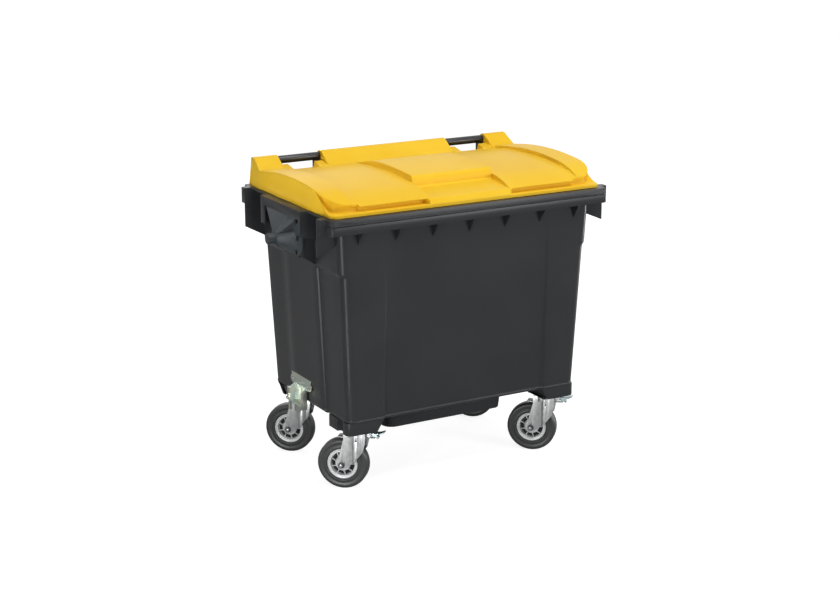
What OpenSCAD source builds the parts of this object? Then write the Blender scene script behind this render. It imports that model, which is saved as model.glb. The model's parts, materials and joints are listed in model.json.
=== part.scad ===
// Four-wheeled waste container: a moulded tub on four swivel castors with a
// hinged lid, handle bars that carry the lid, side trunnions for lifting,
// brakes on the front castors, a direction lock and a drain plug.
// Millimetres, +Z up, origin on the floor under the middle, front towards -Y.

/* [Tub] */
// Width of the tub just under the rim
tub_top_w = 1105; // [900:1:1330]
// Lean of each side wall, rim to floor edge
side_lean = 35.5; // [20:0.5:50]
// Depth of the tub just under the rim
tub_top_d = 692; // [570:1:840]
// Lean of the front and rear walls, rim to floor edge
end_lean = 22; // [10:1:35]
// Height of the tub's side walls, floor edge to rim
tub_h = 755; // [500:1:910]
// Wall thickness of the tub
wall = 5; // [4:0.1:8]
// Corner radius of the tub
tub_corner_r = 35; // [20:1:45]
// How far the lower corner columns stand back from the side panel
column_inset = 8.5; // [4:0.5:12]
// Height of the plain band above the corner columns
band_h = 143; // [100:1:200]
// Width of a corner column, front to back
column_w = 184; // [160:1:220]
// Depth of the front panel at the floor edge
front_recess = 13; // [6:1:18]
// Distance of the front panel's edges from the tub's corners
panel_edge = 161; // [120:1:200]

/* [Rim] */
// Overhang of the rim beyond the front wall
rim_out_y = 40; // [30:1:50]
// Overhang of the rim beyond the side wall
rim_out_x = 51.5; // [40:0.5:56]
// Height of the rim
rim_h = 57; // [45:1:70]
// Step between the upper and the lower band
rim_step = 4; // [2:0.5:6]
// Spacing of the gussets under the front rim
gusset_pitch = 158; // [120:1:170]
// Height of a gusset below the rim
gusset_h = 55; // [30:1:80]

/* [Side frames] */
// Reach of the side frames beyond the side wall at the rim
frame_out = 75.5; // [65:0.5:85]
// Height of the frame's top beam
beam_h = 34; // [24:1:44]
// Front end of the beam
beam_front = -178; // [-200:1:-160]
// Rear end of the beam
beam_rear = 165; // [150:1:200]
// Distance of the end brackets from the tub's corners
end_bracket_in = 31; // [20:1:50]

/* [Sump] */
// Room between the sump and the swinging wheels
sump_clear = 5.5; // [4:0.5:40]
// Depth of the sump, front to back
sump_d = 360; // [280:1:380]
// How far the sump hangs below the floor edge
sump_h = 93; // [60:1:110]
// Radius of the drain hole
drain_r = 20; // [12:1:30]

/* [Lid] */
// Distance of the lid's ends from the ends of the rim
lid_side = 16; // [10:1:24]
// Distance of the lid's front edge behind the front of the rim
lid_back = 28; // [20:1:40]
// Thickness of the lid
lid_wall = 4; // [3:0.1:6]
// Height of the crown above the rim
crown_h = 83; // [60:1:90]
// Radius of the crown, front to back
crown_r = 1400; // [1200:10:2000]
// Height of the end strips above the main panels
strip_rise = 8; // [4:1:12]
// Width of each end strip
strip_w = 93; // [60:1:110]
// Half width of the raised middle panel
middle_half = 175; // [120:1:200]
// Height of the middle panel above the main panels
middle_rise = 21; // [10:1:23]

/* [Hinge and handles] */
// Radius of the handle bars that the lid turns on
bar_r = 16; // [12:0.1:20]
// Wall thickness of the bars
bar_wall = 3; // [2:0.5:5]
// Height of the bars above the rim
hinge_up = 91; // [80:1:105]
// Distance of the bars in front of the rim's rear edge
hinge_back = 41; // [36:1:48]
// Distance of each hand gap from the lid's end
gap_side = 113; // [90:1:140]
// Width of each hand gap
gap_w = 188; // [150:1:200]
// How far a bar runs into the lid blocks
bar_grip = 46; // [30:1:60]
// Running clearance of a shaft in its bore, on the radius
run_gap = 0.05; // [0.02:0.01:0.1]

/* [Trunnions] */
// How far a trunnion pin stands out beyond the side frame
pin_out = 57; // [50:1:70]
// Radius of a trunnion pin
trunnion_r = 20; // [16:0.5:25]
// Height of the trunnions below the rim
trunnion_down = 130; // [110:1:150]
// Place of the trunnions, front to back
trunnion_y = -10; // [-20:1:10]

/* [Castors] */
// Radius of a wheel
wheel_r = 100; // [80:1:120]
// Width of a tyre
tyre_w = 50; // [40:1:60]
// Distance of the axle behind the swivel axis
trail = 52; // [40:1:58]
// Distance of the swivel axes from the side walls, at the floor edge
castor_side = 85.5; // [80:0.5:95]
// Distance of the swivel axes from the front and rear walls, at the floor edge
castor_end = 89; // [85:1:95]
// Height of a castor's head above its wheel, up to the top of its plate
castor_head_h = 45; // [42:1:60]
// Radius of an axle
axle_r = 6; // [5:0.5:8]
// Turn of the castors from straight ahead
castor_turn = 43; // [0:1:60]

/* [Direction lock] */
// Radius of the plunger
plunger_r = 6; // [4:0.5:7]
// Travel of the plunger
plunger_travel = 16; // [12:1:20]

/* [Hidden] */
$fn = 48;

front_left = [-1, -1];
front_right = [1, -1];
rear_left = [-1, 1];
rear_right = [1, 1];

eps = 0.02;
rest_gap = 0.3;
// Clearance between the tub and what is moulded on to it
mould_gap = 0.02;
facet_fn = 32;

// Tub at the floor edge
tub_bottom_w = tub_top_w - 2 * side_lean;
tub_bottom_d = tub_top_d - 2 * end_lean;
side_panel_half = tub_bottom_d / 2 - column_w;
front_panel_half = tub_bottom_w / 2 - panel_edge;

// Heights
castor_h = 2 * wheel_r + castor_head_h;
floor_z = castor_h + 40;
under_rim_z = floor_z + tub_h;
rim_top_z = under_rim_z + rim_h;
ledge_z = under_rim_z - band_h;
hinge_z = rim_top_z + hinge_up;
lid_bottom_z = rim_top_z + 3.5;
crown_z = rim_top_z + crown_h;

// Rim
rim_x = tub_top_w / 2 + rim_out_x;
rim_y = tub_top_d / 2 + rim_out_y;
rim_skin = 6;
frame_x = tub_top_w / 2 + frame_out;
end_bracket = tub_top_d / 2 - end_bracket_in;
gusset_t = 4;
gusset_end = 100;
gussets_each_way = floor((rim_x - gusset_end) / gusset_pitch);

// Lid and hinge
lid_w = 2 * (rim_x - lid_side);
lid_front = rim_y - lid_back;
hinge_y = rim_y - hinge_back;
lid_rear = hinge_y + bar_r + 4;
nose_y = -lid_front + 163;
gap_outer = lid_w / 2 - gap_side;
gap_inner = gap_outer - gap_w;
post_xs = [gap_inner + 13, gap_outer - 12];
post_half = 9;
bar_pin_r = 2.5;

// Castor places and the sump between the wheels
castor_x = tub_bottom_w / 2 - castor_side;
castor_y = tub_bottom_d / 2 - castor_end;
swing_r = norm([wheel_r + trail, tyre_w / 2]);
sump_w = 2 * (castor_x - swing_r - sump_clear);
sump_taper = 8;
sump_r = 40;

// Feet
foot_inner_x = castor_x - 57;
foot_outer_x = castor_x + 73;
foot_inner_y = castor_y - 70;
foot_outer_y = castor_y + 82;

// Castor plate and its bolts
plate_t = 4;
plate_x = 110;
plate_y = 135;
bolt_pitch_x = 80;
bolt_pitch_y = 105;
plate_bolt_r = 5;
plate_bolt_len = 30;
bolt_clear = 0.2;

// Castor fork, from the swivel bearing down
bearing_t = 4;
bearing_z = castor_h - plate_t - bearing_t;
fork_top_z = bearing_z - rest_gap;
fork_t = 5;
leg_in = tyre_w / 2 + 6;
leg_out = leg_in + fork_t;
fork_head_r = leg_out + 8;
kingpin_r = 6;
axle_nut_t = 10;
bulge_x = 8;
bulge_r = 20;
bulge_out = 10;

// Brake
pedal_pivot = [fork_head_r + 8, 0, fork_top_z - 11];
pedal_pin_r = 4;
pedal_half = 15;
ear_t = 4;
shoe_z = wheel_r * 2 + 6;
shoe_stud_r = 4;
shoe_stud_x = 27;

// Wheel
rim_out_r = wheel_r * 0.6;
rim_in_r = rim_out_r - 12;
hub_r = 25;
hub_half = 24;
bush_r = 12;
bush_half = leg_in - 2;
spokes = 9;

// Direction lock
shelf_z = castor_h + 27;
shelf_t = 4;
lock_plate_t = 4;
ear_z = castor_h + 113;
lock_top_z = ear_z + 28;
lock_face_x = half_w(lock_top_z) + rest_gap;
lock_y = castor_y - 131;
ear_y = [lock_y - 129, lock_y + 21];
plunger_pos = [-lock_face_x - 10, lock_y + 36];
tab_way = [-plunger_pos[0] - castor_x, castor_y - plunger_pos[1]];
lock_bolt_r = 4;
tab_z = castor_h - 28;
tab_t = 4;
plunger_low_z = tab_z + tab_t + 3;
plunger_top_z = shelf_z + 50;
head_t = 8;
guide_r = 9;
guide_wall = 0.8;
guide_top_z = plunger_top_z - head_t - plunger_travel - 1;
sleeve_r = guide_r + rest_gap + 0.9;
spring_wire = 0.8;

// Drain
plug_flange_t = 6;
gasket_t = 2;

// Trunnion
trunnion_z = rim_top_z - trunnion_down;
pad_x = frame_x - 31;
trunnion_plate_t = 6;
trunnion_bolts = [[85, 75], [94, 12], [80, -44]];
trunnion_bolt_r = 5;
trunnion_w = 2 * (frame_x + pin_out);
// Free length of a trunnion pin
pin_len = 30;

// Half width and half depth of the tub at a height
function half_w(z) = (tub_bottom_w + (tub_top_w - tub_bottom_w) * (z - floor_z) / tub_h) / 2;
function half_d(z) = (tub_bottom_d + (tub_top_d - tub_bottom_d) * (z - floor_z) / tub_h) / 2;

// A block with round corners that grows from one height to the next
module taper(z0, w0, d0, z1, w1, d1, r) {
  hull()
    for (sx = [-1, 1], sy = [-1, 1]) {
      translate([sx * (w0 - r), sy * (d0 - r), z0]) cylinder(r = r, h = eps, $fn = facet_fn);
      translate([sx * (w1 - r), sy * (d1 - r), z1 - eps]) cylinder(r = r, h = eps, $fn = facet_fn);
    }
}

// A plate drawn in X and Z, from y0 to y1
module plate_xz(y0, y1, points) {
  translate([0, y1, 0]) rotate([90, 0, 0]) linear_extrude(y1 - y0) polygon(points);
}

// A plate drawn in Y and Z, from x0 to x1
module plate_yz(x0, x1, points) {
  translate([x0, 0, 0]) rotate([90, 0, 90]) linear_extrude(x1 - x0) polygon(points);
}

// A block between two corners
module block(low, high) {
  translate(low) cube(high - low);
}

// A rectangle with round corners, centred
module round_rect(w, d, r) {
  square([w - 2 * r, d], center = true);
  square([w, d - 2 * r], center = true);
  for (sx = [-1, 1], sy = [-1, 1])
    translate([sx * (w / 2 - r), sy * (d / 2 - r)]) circle(r = r);
}

module both_sides() {
  children();
  mirror([1, 0, 0]) children();
}

module front_and_back() {
  children();
  mirror([0, 1, 0]) children();
}

// The space inside the tub's outer faces, or inside its walls when t is the wall
module tub_form(t, z0, z1) {
  low_w = half_w(z0) - column_inset - t;
  ledge_w = half_w(ledge_z) - column_inset - t;
  panel_low = half_w(z0) - t;
  panel_ledge = half_w(ledge_z) - t;
  cut_y_low = half_d(floor_z) - front_recess - t;
  cut_y_top = half_d(under_rim_z) - t;
  difference() {
    union() {
      taper(z0, low_w, half_d(z0) - t, ledge_z - t + eps, ledge_w, half_d(ledge_z) - t, tub_corner_r - t);
      plate_xz(-side_panel_half + t, side_panel_half - t,
        [[-panel_low, z0], [panel_low, z0], [panel_ledge, ledge_z], [-panel_ledge, ledge_z]]);
    }
    front_and_back()
      plate_yz(-front_panel_half - t, front_panel_half + t,
        [[-cut_y_low, floor_z], [-cut_y_top, under_rim_z], [-tub_top_d, under_rim_z],
         [-tub_top_d, z0 - 1], [-cut_y_low + 0.03, z0 - 1]]);
  }
  taper(ledge_z - t, panel_ledge, half_d(ledge_z) - t, z1, half_w(z1) - t, half_d(z1) - t, tub_corner_r - t);
}

// The rim as a closed ring, with its skirt open along the sides
module rim_ring() {
  skirt = 5;
  groove_z = under_rim_z + 31;
  upper_x = rim_x - rim_step;
  upper_y = rim_y - rim_step;
  difference() {
    union() {
      // top skin and upper band
      translate([0, 0, rim_top_z - rim_skin])
        linear_extrude(rim_skin) round_rect(2 * upper_x, 2 * upper_y, 14);
      translate([0, 0, groove_z])
        linear_extrude(rim_top_z - groove_z) difference() {
          round_rect(2 * upper_x, 2 * upper_y, 14);
          round_rect(2 * (upper_x - skirt), 2 * (upper_y - skirt), 9);
        }
      // lower band
      translate([0, 0, under_rim_z])
        linear_extrude(groove_z - under_rim_z) difference() {
          round_rect(2 * rim_x, 2 * rim_y, 16);
          round_rect(2 * (upper_x - skirt), 2 * (upper_y - skirt), 9);
        }
      // rib that stiffens the skirt all round
      translate([0, 0, groove_z - 3])
        linear_extrude(3) difference() {
          round_rect(2 * (rim_x - 2), 2 * (rim_y - 2), 14);
          square([tub_top_w - 8, tub_top_d - 8], center = true);
        }
    }
    // the skirt is open along the sides, where the side frames stand
    both_sides()
      block([half_w(rim_top_z) + 4, -end_bracket + 2, under_rim_z - 1],
            [rim_x + 1, end_bracket - 2, rim_top_z - rim_skin]);
  }
}

// Gussets under the front and the rear rim
module gusset_row() {
  low = under_rim_z - gusset_h;
  wall_y = half_d(under_rim_z) + mould_gap;
  front_and_back()
    for (i = [-gussets_each_way:gussets_each_way])
      plate_yz(i * gusset_pitch - gusset_t / 2, i * gusset_pitch + gusset_t / 2,
        [[-half_d(low) - mould_gap, low], [-wall_y, under_rim_z], [-wall_y + 3, rim_top_z - 2],
         [-rim_y + rim_step + 1, rim_top_z - 2], [-rim_y + 2, under_rim_z]]);
}

// A plate that stands out from the side wall, its lower edge from low_in to low_out
module side_plate(y0, y1, low_in, out_x, low_out) {
  top = rim_top_z - 2;
  plate_xz(y0, y1,
    [[half_w(low_in) + mould_gap, low_in], [out_x, low_out], [out_x, top],
     [half_w(under_rim_z) - 2, top], [half_w(under_rim_z) - 2, under_rim_z],
     [half_w(under_rim_z) + mould_gap, under_rim_z]]);
}

// One bracket plate of a side frame, up to the top of the rim
module side_bracket(y0, y1, low_in, low_out) {
  side_plate(y0, y1, low_in, frame_x, low_out);
  block([half_w(rim_top_z), y0, rim_top_z - rim_skin], [frame_x, y1, rim_top_z]);
}

module side_frame() {
  leg = 5;
  // end brackets and the corner blocks
  side_bracket(-end_bracket, -end_bracket + leg, under_rim_z - 52, under_rim_z - 85);
  side_bracket(end_bracket - leg, end_bracket, under_rim_z - 140, under_rim_z - 96);
  front_and_back() {
    block([frame_x - leg, -end_bracket - 26, under_rim_z - 4], [frame_x, -end_bracket + leg, rim_top_z]);
    block([rim_x - 20, -end_bracket - 26, rim_top_z - rim_skin], [frame_x, -end_bracket + leg, rim_top_z]);
    block([rim_x - rim_step, -end_bracket - 26, under_rim_z - 4], [frame_x, -end_bracket - 21, rim_top_z]);
  }
  // beam with a bracket at each end
  block([frame_x - 20, beam_front, rim_top_z - beam_h], [frame_x, beam_rear, rim_top_z - beam_h + leg]);
  block([frame_x - leg, beam_front, rim_top_z - beam_h], [frame_x, beam_rear, rim_top_z]);
  block([rim_x - 20, beam_front, rim_top_z - leg], [frame_x, beam_rear, rim_top_z]);
  side_bracket(beam_front, beam_front + leg, under_rim_z - 60, under_rim_z - 40);
  side_bracket(beam_rear - leg, beam_rear, under_rim_z - 60, under_rim_z - 50);
  block([frame_x - leg, beam_rear - 35, under_rim_z - 50], [frame_x, beam_rear, rim_top_z - beam_h + leg]);
  // pad behind the trunnion, on three upright ribs
  block([pad_x - 8, trunnion_y - 125, trunnion_z - 56], [pad_x, trunnion_y + 125, rim_top_z - beam_h + leg]);
  block([pad_x - 8, trunnion_y - 125, rim_top_z - beam_h], [frame_x - 2, trunnion_y + 125, rim_top_z - beam_h + leg]);
  for (y = [-123, 0, 123])
    side_plate(trunnion_y + y - 2, trunnion_y + y + 2, trunnion_z - 90, pad_x - 2, trunnion_z - 56);
}

module rim() {
  color("#3C3D3E") difference() {
    union() {
      taper(under_rim_z, half_w(under_rim_z), half_d(under_rim_z),
            rim_top_z, half_w(rim_top_z), half_d(rim_top_z), tub_corner_r);
      rim_ring();
      gusset_row();
      both_sides() side_frame();
    }
    taper(under_rim_z - 1, half_w(under_rim_z - 1) - wall, half_d(under_rim_z - 1) - wall,
          rim_top_z + 1, half_w(rim_top_z + 1) - wall, half_d(rim_top_z + 1) - wall, tub_corner_r - wall);
    // holes for the trunnion bolts
    both_sides() trunnion_bolt_row(0.5, pad_x - 9, 10);
  }
}

module foot() {
  top = floor_z - mould_gap;
  difference() {
    plate_xz(-foot_outer_y, -foot_inner_y,
      [[-foot_outer_x, castor_h], [-foot_inner_x, castor_h], [-foot_inner_x + 23, top], [-foot_outer_x, top]]);
    block([-foot_outer_x - 1, -foot_inner_y - 62, castor_h - 1],
          [-foot_outer_x + 10, -foot_inner_y - 40, top - 3]);
    translate([-foot_outer_x + 12, -foot_outer_y + 12, castor_h - 1])
      difference() {
        translate([-13, -13, 0]) cube([13, 13, 50]);
        cylinder(r = 12, h = 50);
      }
  }
}

// Feet that carry the castor plates, with blind holes for their bolts
module feet() {
  color("#3C3D3E") difference() {
    both_sides() front_and_back() foot();
    both_sides() front_and_back()
      for (bx = [-1, 1], by = [-1, 1])
        translate([castor_x + bx * bolt_pitch_x / 2, castor_y + by * bolt_pitch_y / 2, castor_h - 1])
          cylinder(r = plate_bolt_r + bolt_clear, h = plate_bolt_len + 1);
  }
}

// Posts that carry the handle bars, each with a saddle under the bar
module bar_posts() {
  color("#3C3D3E") both_sides() for (x = post_xs) difference() {
    block([x - post_half, hinge_y - bar_r + 3, rim_top_z + mould_gap], [x + post_half, hinge_y + bar_r - 3, hinge_z - 4]);
    translate([x - post_half - 1, hinge_y, hinge_z]) rotate([0, 90, 0])
      cylinder(r = bar_r + run_gap, h = 2 * post_half + 2);
    translate([x, hinge_y, hinge_z - bar_r - 24]) cylinder(r = bar_pin_r, h = 40);
  }
}

// Walls and floor of the tub, open over the sump
module tub() {
  boss_in = 17;
  color("#3C3D3E") difference() {
    union() {
      difference() {
        tub_form(0, floor_z, under_rim_z);
        tub_form(wall, floor_z + wall, under_rim_z + 1);
        translate([0, 0, floor_z - 1]) linear_extrude(wall + 2)
          round_rect(sump_w - 2 * wall, sump_d - 2 * wall, sump_r - wall);
      }
      // bosses for the direction lock
      for (y = ear_y)
        translate([-lock_face_x, y, ear_z]) rotate([0, 90, 0]) cylinder(r = 12, h = boss_in);
    }
    for (y = ear_y)
      translate([-lock_face_x - 1, y, ear_z]) rotate([0, 90, 0])
        cylinder(r = lock_bolt_r + bolt_clear, h = boss_in - 2);
  }
}

// Sump that hangs under the floor, with the drain hole
module sump() {
  low = floor_z - sump_h;
  top = floor_z - mould_gap;
  color("#3C3D3E") difference() {
    taper(low, sump_w / 2 - sump_taper, sump_d / 2 - sump_taper, top, sump_w / 2, sump_d / 2, sump_r);
    taper(low + wall, sump_w / 2 - sump_taper - wall, sump_d / 2 - sump_taper - wall,
          floor_z + 1, sump_w / 2 - wall, sump_d / 2 - wall, sump_r - wall);
    translate([0, 0, low - 1]) cylinder(r = drain_r, h = wall + 2);
  }
}

module trunnion_bolt_row(extra, x0, len) {
  for (side = [-1, 1], b = trunnion_bolts)
    translate([x0, trunnion_y + side * b[0], trunnion_z + b[1]])
      rotate([0, 90, 0]) cylinder(r = trunnion_bolt_r + extra, h = len);
}

// Section of the lid's crown, front edge to rear edge, lowered by drop
module crown_section(drop, front, rear, rise) {
  intersection() {
    translate([-front, lid_bottom_z - 20]) square([front + rear, crown_z - lid_bottom_z + rise + 20 - drop]);
    translate([0, crown_z + rise - drop - crown_r]) circle(r = crown_r, $fn = 180);
  }
}

// Section of the raised middle panel with its rounded nose
module middle_section(drop) {
  nose_r = 16;
  intersection() {
    translate([nose_y, lid_bottom_z - 20]) square([hinge_y - 103 - nose_y, 200]);
    translate([-20, crown_z + middle_rise - drop - crown_r]) circle(r = crown_r, $fn = 180);
  }
  translate([nose_y, crown_z + middle_rise - 11 - nose_r]) circle(r = nose_r - drop);
  translate([nose_y - nose_r + drop, lid_bottom_z - 20]) square([nose_r - drop, crown_z - lid_bottom_z + 14]);
}

// Section of the low floor in front of the nose
module trough_section(drop) {
  polygon([[nose_y - 10, crown_z - 30 - drop], [-lid_front + 13 + drop, crown_z - 47 - drop],
           [-lid_front + 13 + drop, lid_bottom_z - 20], [nose_y - 10, lid_bottom_z - 20]]);
}

// Section of a block that covers the hinge
module hinge_block_section(t) {
  front = hinge_y - 100 + t;
  rear = lid_rear - t;
  top = hinge_z + bar_r + 6 - t;
  polygon([[front, lid_bottom_z - 20], [front, crown_z - 24 - t], [hinge_y - 23, top],
           [lid_rear - 14, top], [rear, hinge_z + 8], [rear, lid_bottom_z - 20]]);
}

// Carries a section drawn in Y and Z along X, from x0 to x1
module along_x(x0, x1) {
  translate([x0, 0, 0]) rotate([90, 0, 90]) linear_extrude(x1 - x0) children();
}

// The lid's outer faces, or the inside of its skin when t is its thickness
module lid_form(t) {
  half = lid_w / 2 - 3 - t;
  lip = lid_front - 13 - t;
  strip_in = half - strip_w + (t > 0 ? 2 * t : 0);
  rear = lid_rear - t;
  along_x(middle_half - t, half) crown_section(t, lip, rear, 0);
  along_x(-half, -middle_half + t) crown_section(t, lip, rear, 0);
  along_x(-middle_half, middle_half) crown_section(t, -nose_y, rear, 0);
  along_x(strip_in, half) crown_section(t, lip, rear, strip_rise);
  along_x(-half, -strip_in) crown_section(t, lip, rear, strip_rise);
  along_x(-middle_half + t, middle_half - t) middle_section(t);
  along_x(-middle_half - t, middle_half + t) trough_section(t);
  along_x(-gap_inner + t, gap_inner - t) hinge_block_section(t);
  along_x(gap_outer + t, half) hinge_block_section(t);
  along_x(-half, -gap_outer - t) hinge_block_section(t);
}

module lid() {
  rear = lid_rear;
  skirt_z = lid_bottom_z + 14;
  groove_low = crown_z - 66;
  groove_high = crown_z - 50;
  groove_in = lid_front - 34;
  knuckle = 22;
  knuckle_r = bar_r + 4;
  gap_front = hinge_y - bar_r - 16;
  color("#F9C933") difference() {
    union() {
      difference() {
        union() {
          intersection() {
            lid_form(0);
            block([-lid_w, -lid_front, lid_bottom_z], [lid_w, rear, hinge_z + 40]);
          }
          // skirt that rests over the rim
          translate([0, (rear - lid_front) / 2, lid_bottom_z])
            linear_extrude(skirt_z - lid_bottom_z) round_rect(lid_w, lid_front + rear, 28);
          // wall behind the groove
          both_sides()
            block([middle_half, -groove_in, lid_bottom_z], [lid_w / 2 - 20, -groove_in + 20, groove_high]);
        }
        difference() {
          lid_form(lid_wall);
          // the skin stays behind the groove under the front lips
          both_sides()
            block([middle_half - 2 * lid_wall, -lid_front - 1, groove_low - lid_wall],
                  [lid_w, -groove_in + lid_wall, groove_high + lid_wall]);
        }
        translate([0, (rear - lid_front) / 2, lid_bottom_z - 1])
          linear_extrude(skirt_z - lid_bottom_z + 1 - lid_wall)
            round_rect(lid_w - 2 * lid_wall, lid_front + rear - 2 * lid_wall, 24);
        // groove under the front lips, open at the ends
        both_sides()
          block([middle_half + 12, -lid_front - 1, groove_low], [lid_w, -groove_in, groove_high]);
      }
      // hinge knuckles inside the blocks
      for (x = [gap_inner - knuckle, gap_outer]) both_sides()
        intersection() {
          along_x(x, x + knuckle) {
            translate([hinge_y, hinge_z]) circle(r = knuckle_r);
            translate([hinge_y - knuckle_r, lid_bottom_z + 10])
              square([2 * knuckle_r, hinge_z - lid_bottom_z - 10]);
          }
          lid_form(0);
        }
      // bead that rests on the front rim
      block([-lid_w / 2 + 40, -lid_front + 6, rim_top_z + rest_gap], [lid_w / 2 - 40, -lid_front + 10, skirt_z - 2]);
    }
    // hand gaps at the rear, open to the bars
    both_sides()
      block([gap_inner, gap_front, lid_bottom_z - 1], [gap_outer, rear + 1, hinge_z + 40]);
    both_sides()
      block([gap_inner, hinge_y - 100, hinge_z - bar_r - 6], [gap_outer, rear + 1, hinge_z + 40]);
    both_sides()
      along_x(gap_inner - 30, gap_outer + 30) translate([hinge_y, hinge_z]) circle(r = bar_r + run_gap);
  }
  // closing wall and side wedges of the hand gaps
  color("#F9C933") both_sides() {
    block([gap_inner - 2, gap_front - 4, lid_bottom_z], [gap_outer + 2, gap_front, crown_z - 34]);
    for (x = [gap_inner, gap_outer - 42])
      plate_yz(x, x + 42,
        [[hinge_y - 95, crown_z - 22], [gap_front, hinge_z - bar_r - 8],
         [gap_front, crown_z - 40], [hinge_y - 60, crown_z - 30]]);
  }
}

module handle_bar() {
  x0 = gap_inner - bar_grip;
  len = gap_outer - gap_inner + 2 * bar_grip;
  color("#26282A") difference() {
    translate([x0, hinge_y, hinge_z]) rotate([0, 90, 0]) cylinder(r = bar_r, h = len);
    translate([x0 - 1, hinge_y, hinge_z]) rotate([0, 90, 0]) cylinder(r = bar_r - bar_wall, h = len + 2);
    for (x = post_xs)
      translate([x, hinge_y, hinge_z - bar_r - 2]) cylinder(r = bar_pin_r, h = bar_r);
  }
}

module bar_pins() {
  color("#9DA1A4")
    for (x = post_xs) both_sides()
      translate([x, hinge_y, hinge_z - bar_r - 22]) cylinder(r = bar_pin_r - run_gap, h = bar_wall + 21);
}

// Trunnion for the +X side: a plate on the pad, a hollow web under the beam and a pin
module trunnion() {
  plate_low = trunnion_z - 57;
  plate_high = rim_top_z - beam_h - 9;
  corner = 50;
  half = 131;
  pin_end = trunnion_w / 2;
  boss_end = pin_end - pin_len;
  bore_r = trunnion_r - 6;
  web_x = frame_x - 3;
  web_high = rim_top_z - beam_h - 1;
  face = pad_x + trunnion_plate_t;
  color("#464C50") difference() {
    union() {
      along_x(pad_x, face) translate([trunnion_y, 0]) {
        translate([-half, plate_low + corner]) square([2 * half, plate_high - plate_low - corner]);
        translate([-half + corner, plate_low]) square([2 * (half - corner), plate_high - plate_low]);
        for (s = [-1, 1]) translate([s * (half - corner), plate_low + corner]) circle(r = corner);
      }
      translate([face, trunnion_y, trunnion_z]) rotate([0, 90, 0])
        cylinder(r1 = trunnion_r + 12, r2 = trunnion_r + 3, h = boss_end - face);
      // web: wide under the beam, narrow at the pin
      hull() {
        block([web_x - 4, -70, web_high - 8], [web_x, 118, web_high]);
        translate([boss_end - 12, trunnion_y, trunnion_z + trunnion_r - 4]) rotate([0, 90, 0])
          cylinder(r = 8, h = 12, $fn = facet_fn);
        block([face - 1, -95, web_high - 12], [face, 118, web_high - 10]);
        translate([face - 1, trunnion_y, trunnion_z]) rotate([0, 90, 0]) cylinder(r = 16, h = 1, $fn = facet_fn);
      }
    }
    hull() {
      block([face - 1, -62, web_high - 9], [web_x - 6, 110, web_high + 2]);
      translate([face - 1, trunnion_y, trunnion_z + 38]) cube([18, 6, 2]);
    }
    translate([pad_x - 1, trunnion_y, trunnion_z]) rotate([0, 90, 0]) cylinder(r = bore_r, h = pin_end - pad_x - 14);
    trunnion_bolt_row(0.5, pad_x - 1, trunnion_plate_t + 2);
    // clearance for the bolt heads beside the web
    trunnion_bolt_row(5.2, face, 8);
  }
  color("#464C50") difference() {
    translate([boss_end - 10, trunnion_y, trunnion_z]) rotate([0, 90, 0])
      cylinder(r = trunnion_r, h = pin_len + 10);
    translate([pad_x - 1, trunnion_y, trunnion_z]) rotate([0, 90, 0]) cylinder(r = bore_r, h = pin_end - pad_x - 14);
  }
}

module trunnion_bolts_group() {
  face = pad_x + trunnion_plate_t;
  color("#7B8084")
    for (side = [-1, 1], b = trunnion_bolts)
      translate([0, trunnion_y + side * b[0], trunnion_z + b[1]]) rotate([0, 90, 0]) {
        translate([0, 0, face]) cylinder(r = 9, h = 6, $fn = 6);
        translate([0, 0, pad_x - 20]) cylinder(r = trunnion_bolt_r - 0.1, h = 20 + trunnion_plate_t + 1);
        translate([0, 0, pad_x - 16]) cylinder(r = 9, h = 8, $fn = 6);
      }
}

// Puts a castor piece at its corner, turned with the others
module at_castor(corner) {
  translate([corner[0] * castor_x, corner[1] * castor_y, 0]) children();
}

module turned(corner) {
  at_castor(corner) rotate([0, 0, -castor_turn]) children();
}

module mount_plate() {
  color("#2B2D2F") translate([0, 0, castor_h - plate_t]) difference() {
    linear_extrude(plate_t) round_rect(plate_x, plate_y, 10);
    translate([0, 0, -1]) cylinder(r = kingpin_r + run_gap, h = plate_t + 2);
    for (bx = [-1, 1], by = [-1, 1])
      translate([bx * bolt_pitch_x / 2, by * bolt_pitch_y / 2, -1]) cylinder(r = plate_bolt_r + 0.5, h = plate_t + 2);
  }
}

module plate_bolts() {
  color("#8A8E91")
    for (bx = [-1, 1], by = [-1, 1])
      translate([bx * bolt_pitch_x / 2, by * bolt_pitch_y / 2, 0]) {
        translate([0, 0, castor_h - plate_t - 6]) cylinder(r = 9, h = 6, $fn = 6);
        translate([0, 0, castor_h - plate_t - 1]) cylinder(r = plate_bolt_r, h = plate_bolt_len);
      }
}

module castor_plate_bolts() {
  for (corner = [front_left, front_right, rear_left, rear_right])
    at_castor(corner) plate_bolts();
}

module swivel_bearing() {
  color("#9A9DA0") translate([0, 0, bearing_z]) difference() {
    cylinder(r = fork_head_r - 2, h = bearing_t);
    translate([0, 0, -1]) cylinder(r = kingpin_r + 4, h = bearing_t + 2);
  }
}

module kingpin() {
  color("#8A8E91") {
    translate([0, 0, fork_top_z - fork_t - rest_gap - 8]) cylinder(r = 11, h = 8, $fn = 6);
    translate([0, 0, fork_top_z - fork_t - rest_gap - 1])
      cylinder(r = kingpin_r, h = castor_h - fork_top_z + fork_t + rest_gap + 1);
  }
}

// Outline of a fork leg in X and Z, from the head down to the axle
module leg_outline() {
  polygon([[-fork_head_r, fork_top_z], [-fork_head_r, 2 * wheel_r + 5], [-trail - 17.5, wheel_r + 5],
           [-trail, wheel_r - 10], [-trail + 14, wheel_r - 12], [-trail + 26, wheel_r - 6],
           [0, wheel_r + 17], [33, wheel_r + 58], [fork_head_r - 2, 2 * wheel_r],
           [fork_head_r - 2, fork_top_z]]);
  translate([-trail, wheel_r]) circle(r = 18);
}

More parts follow.
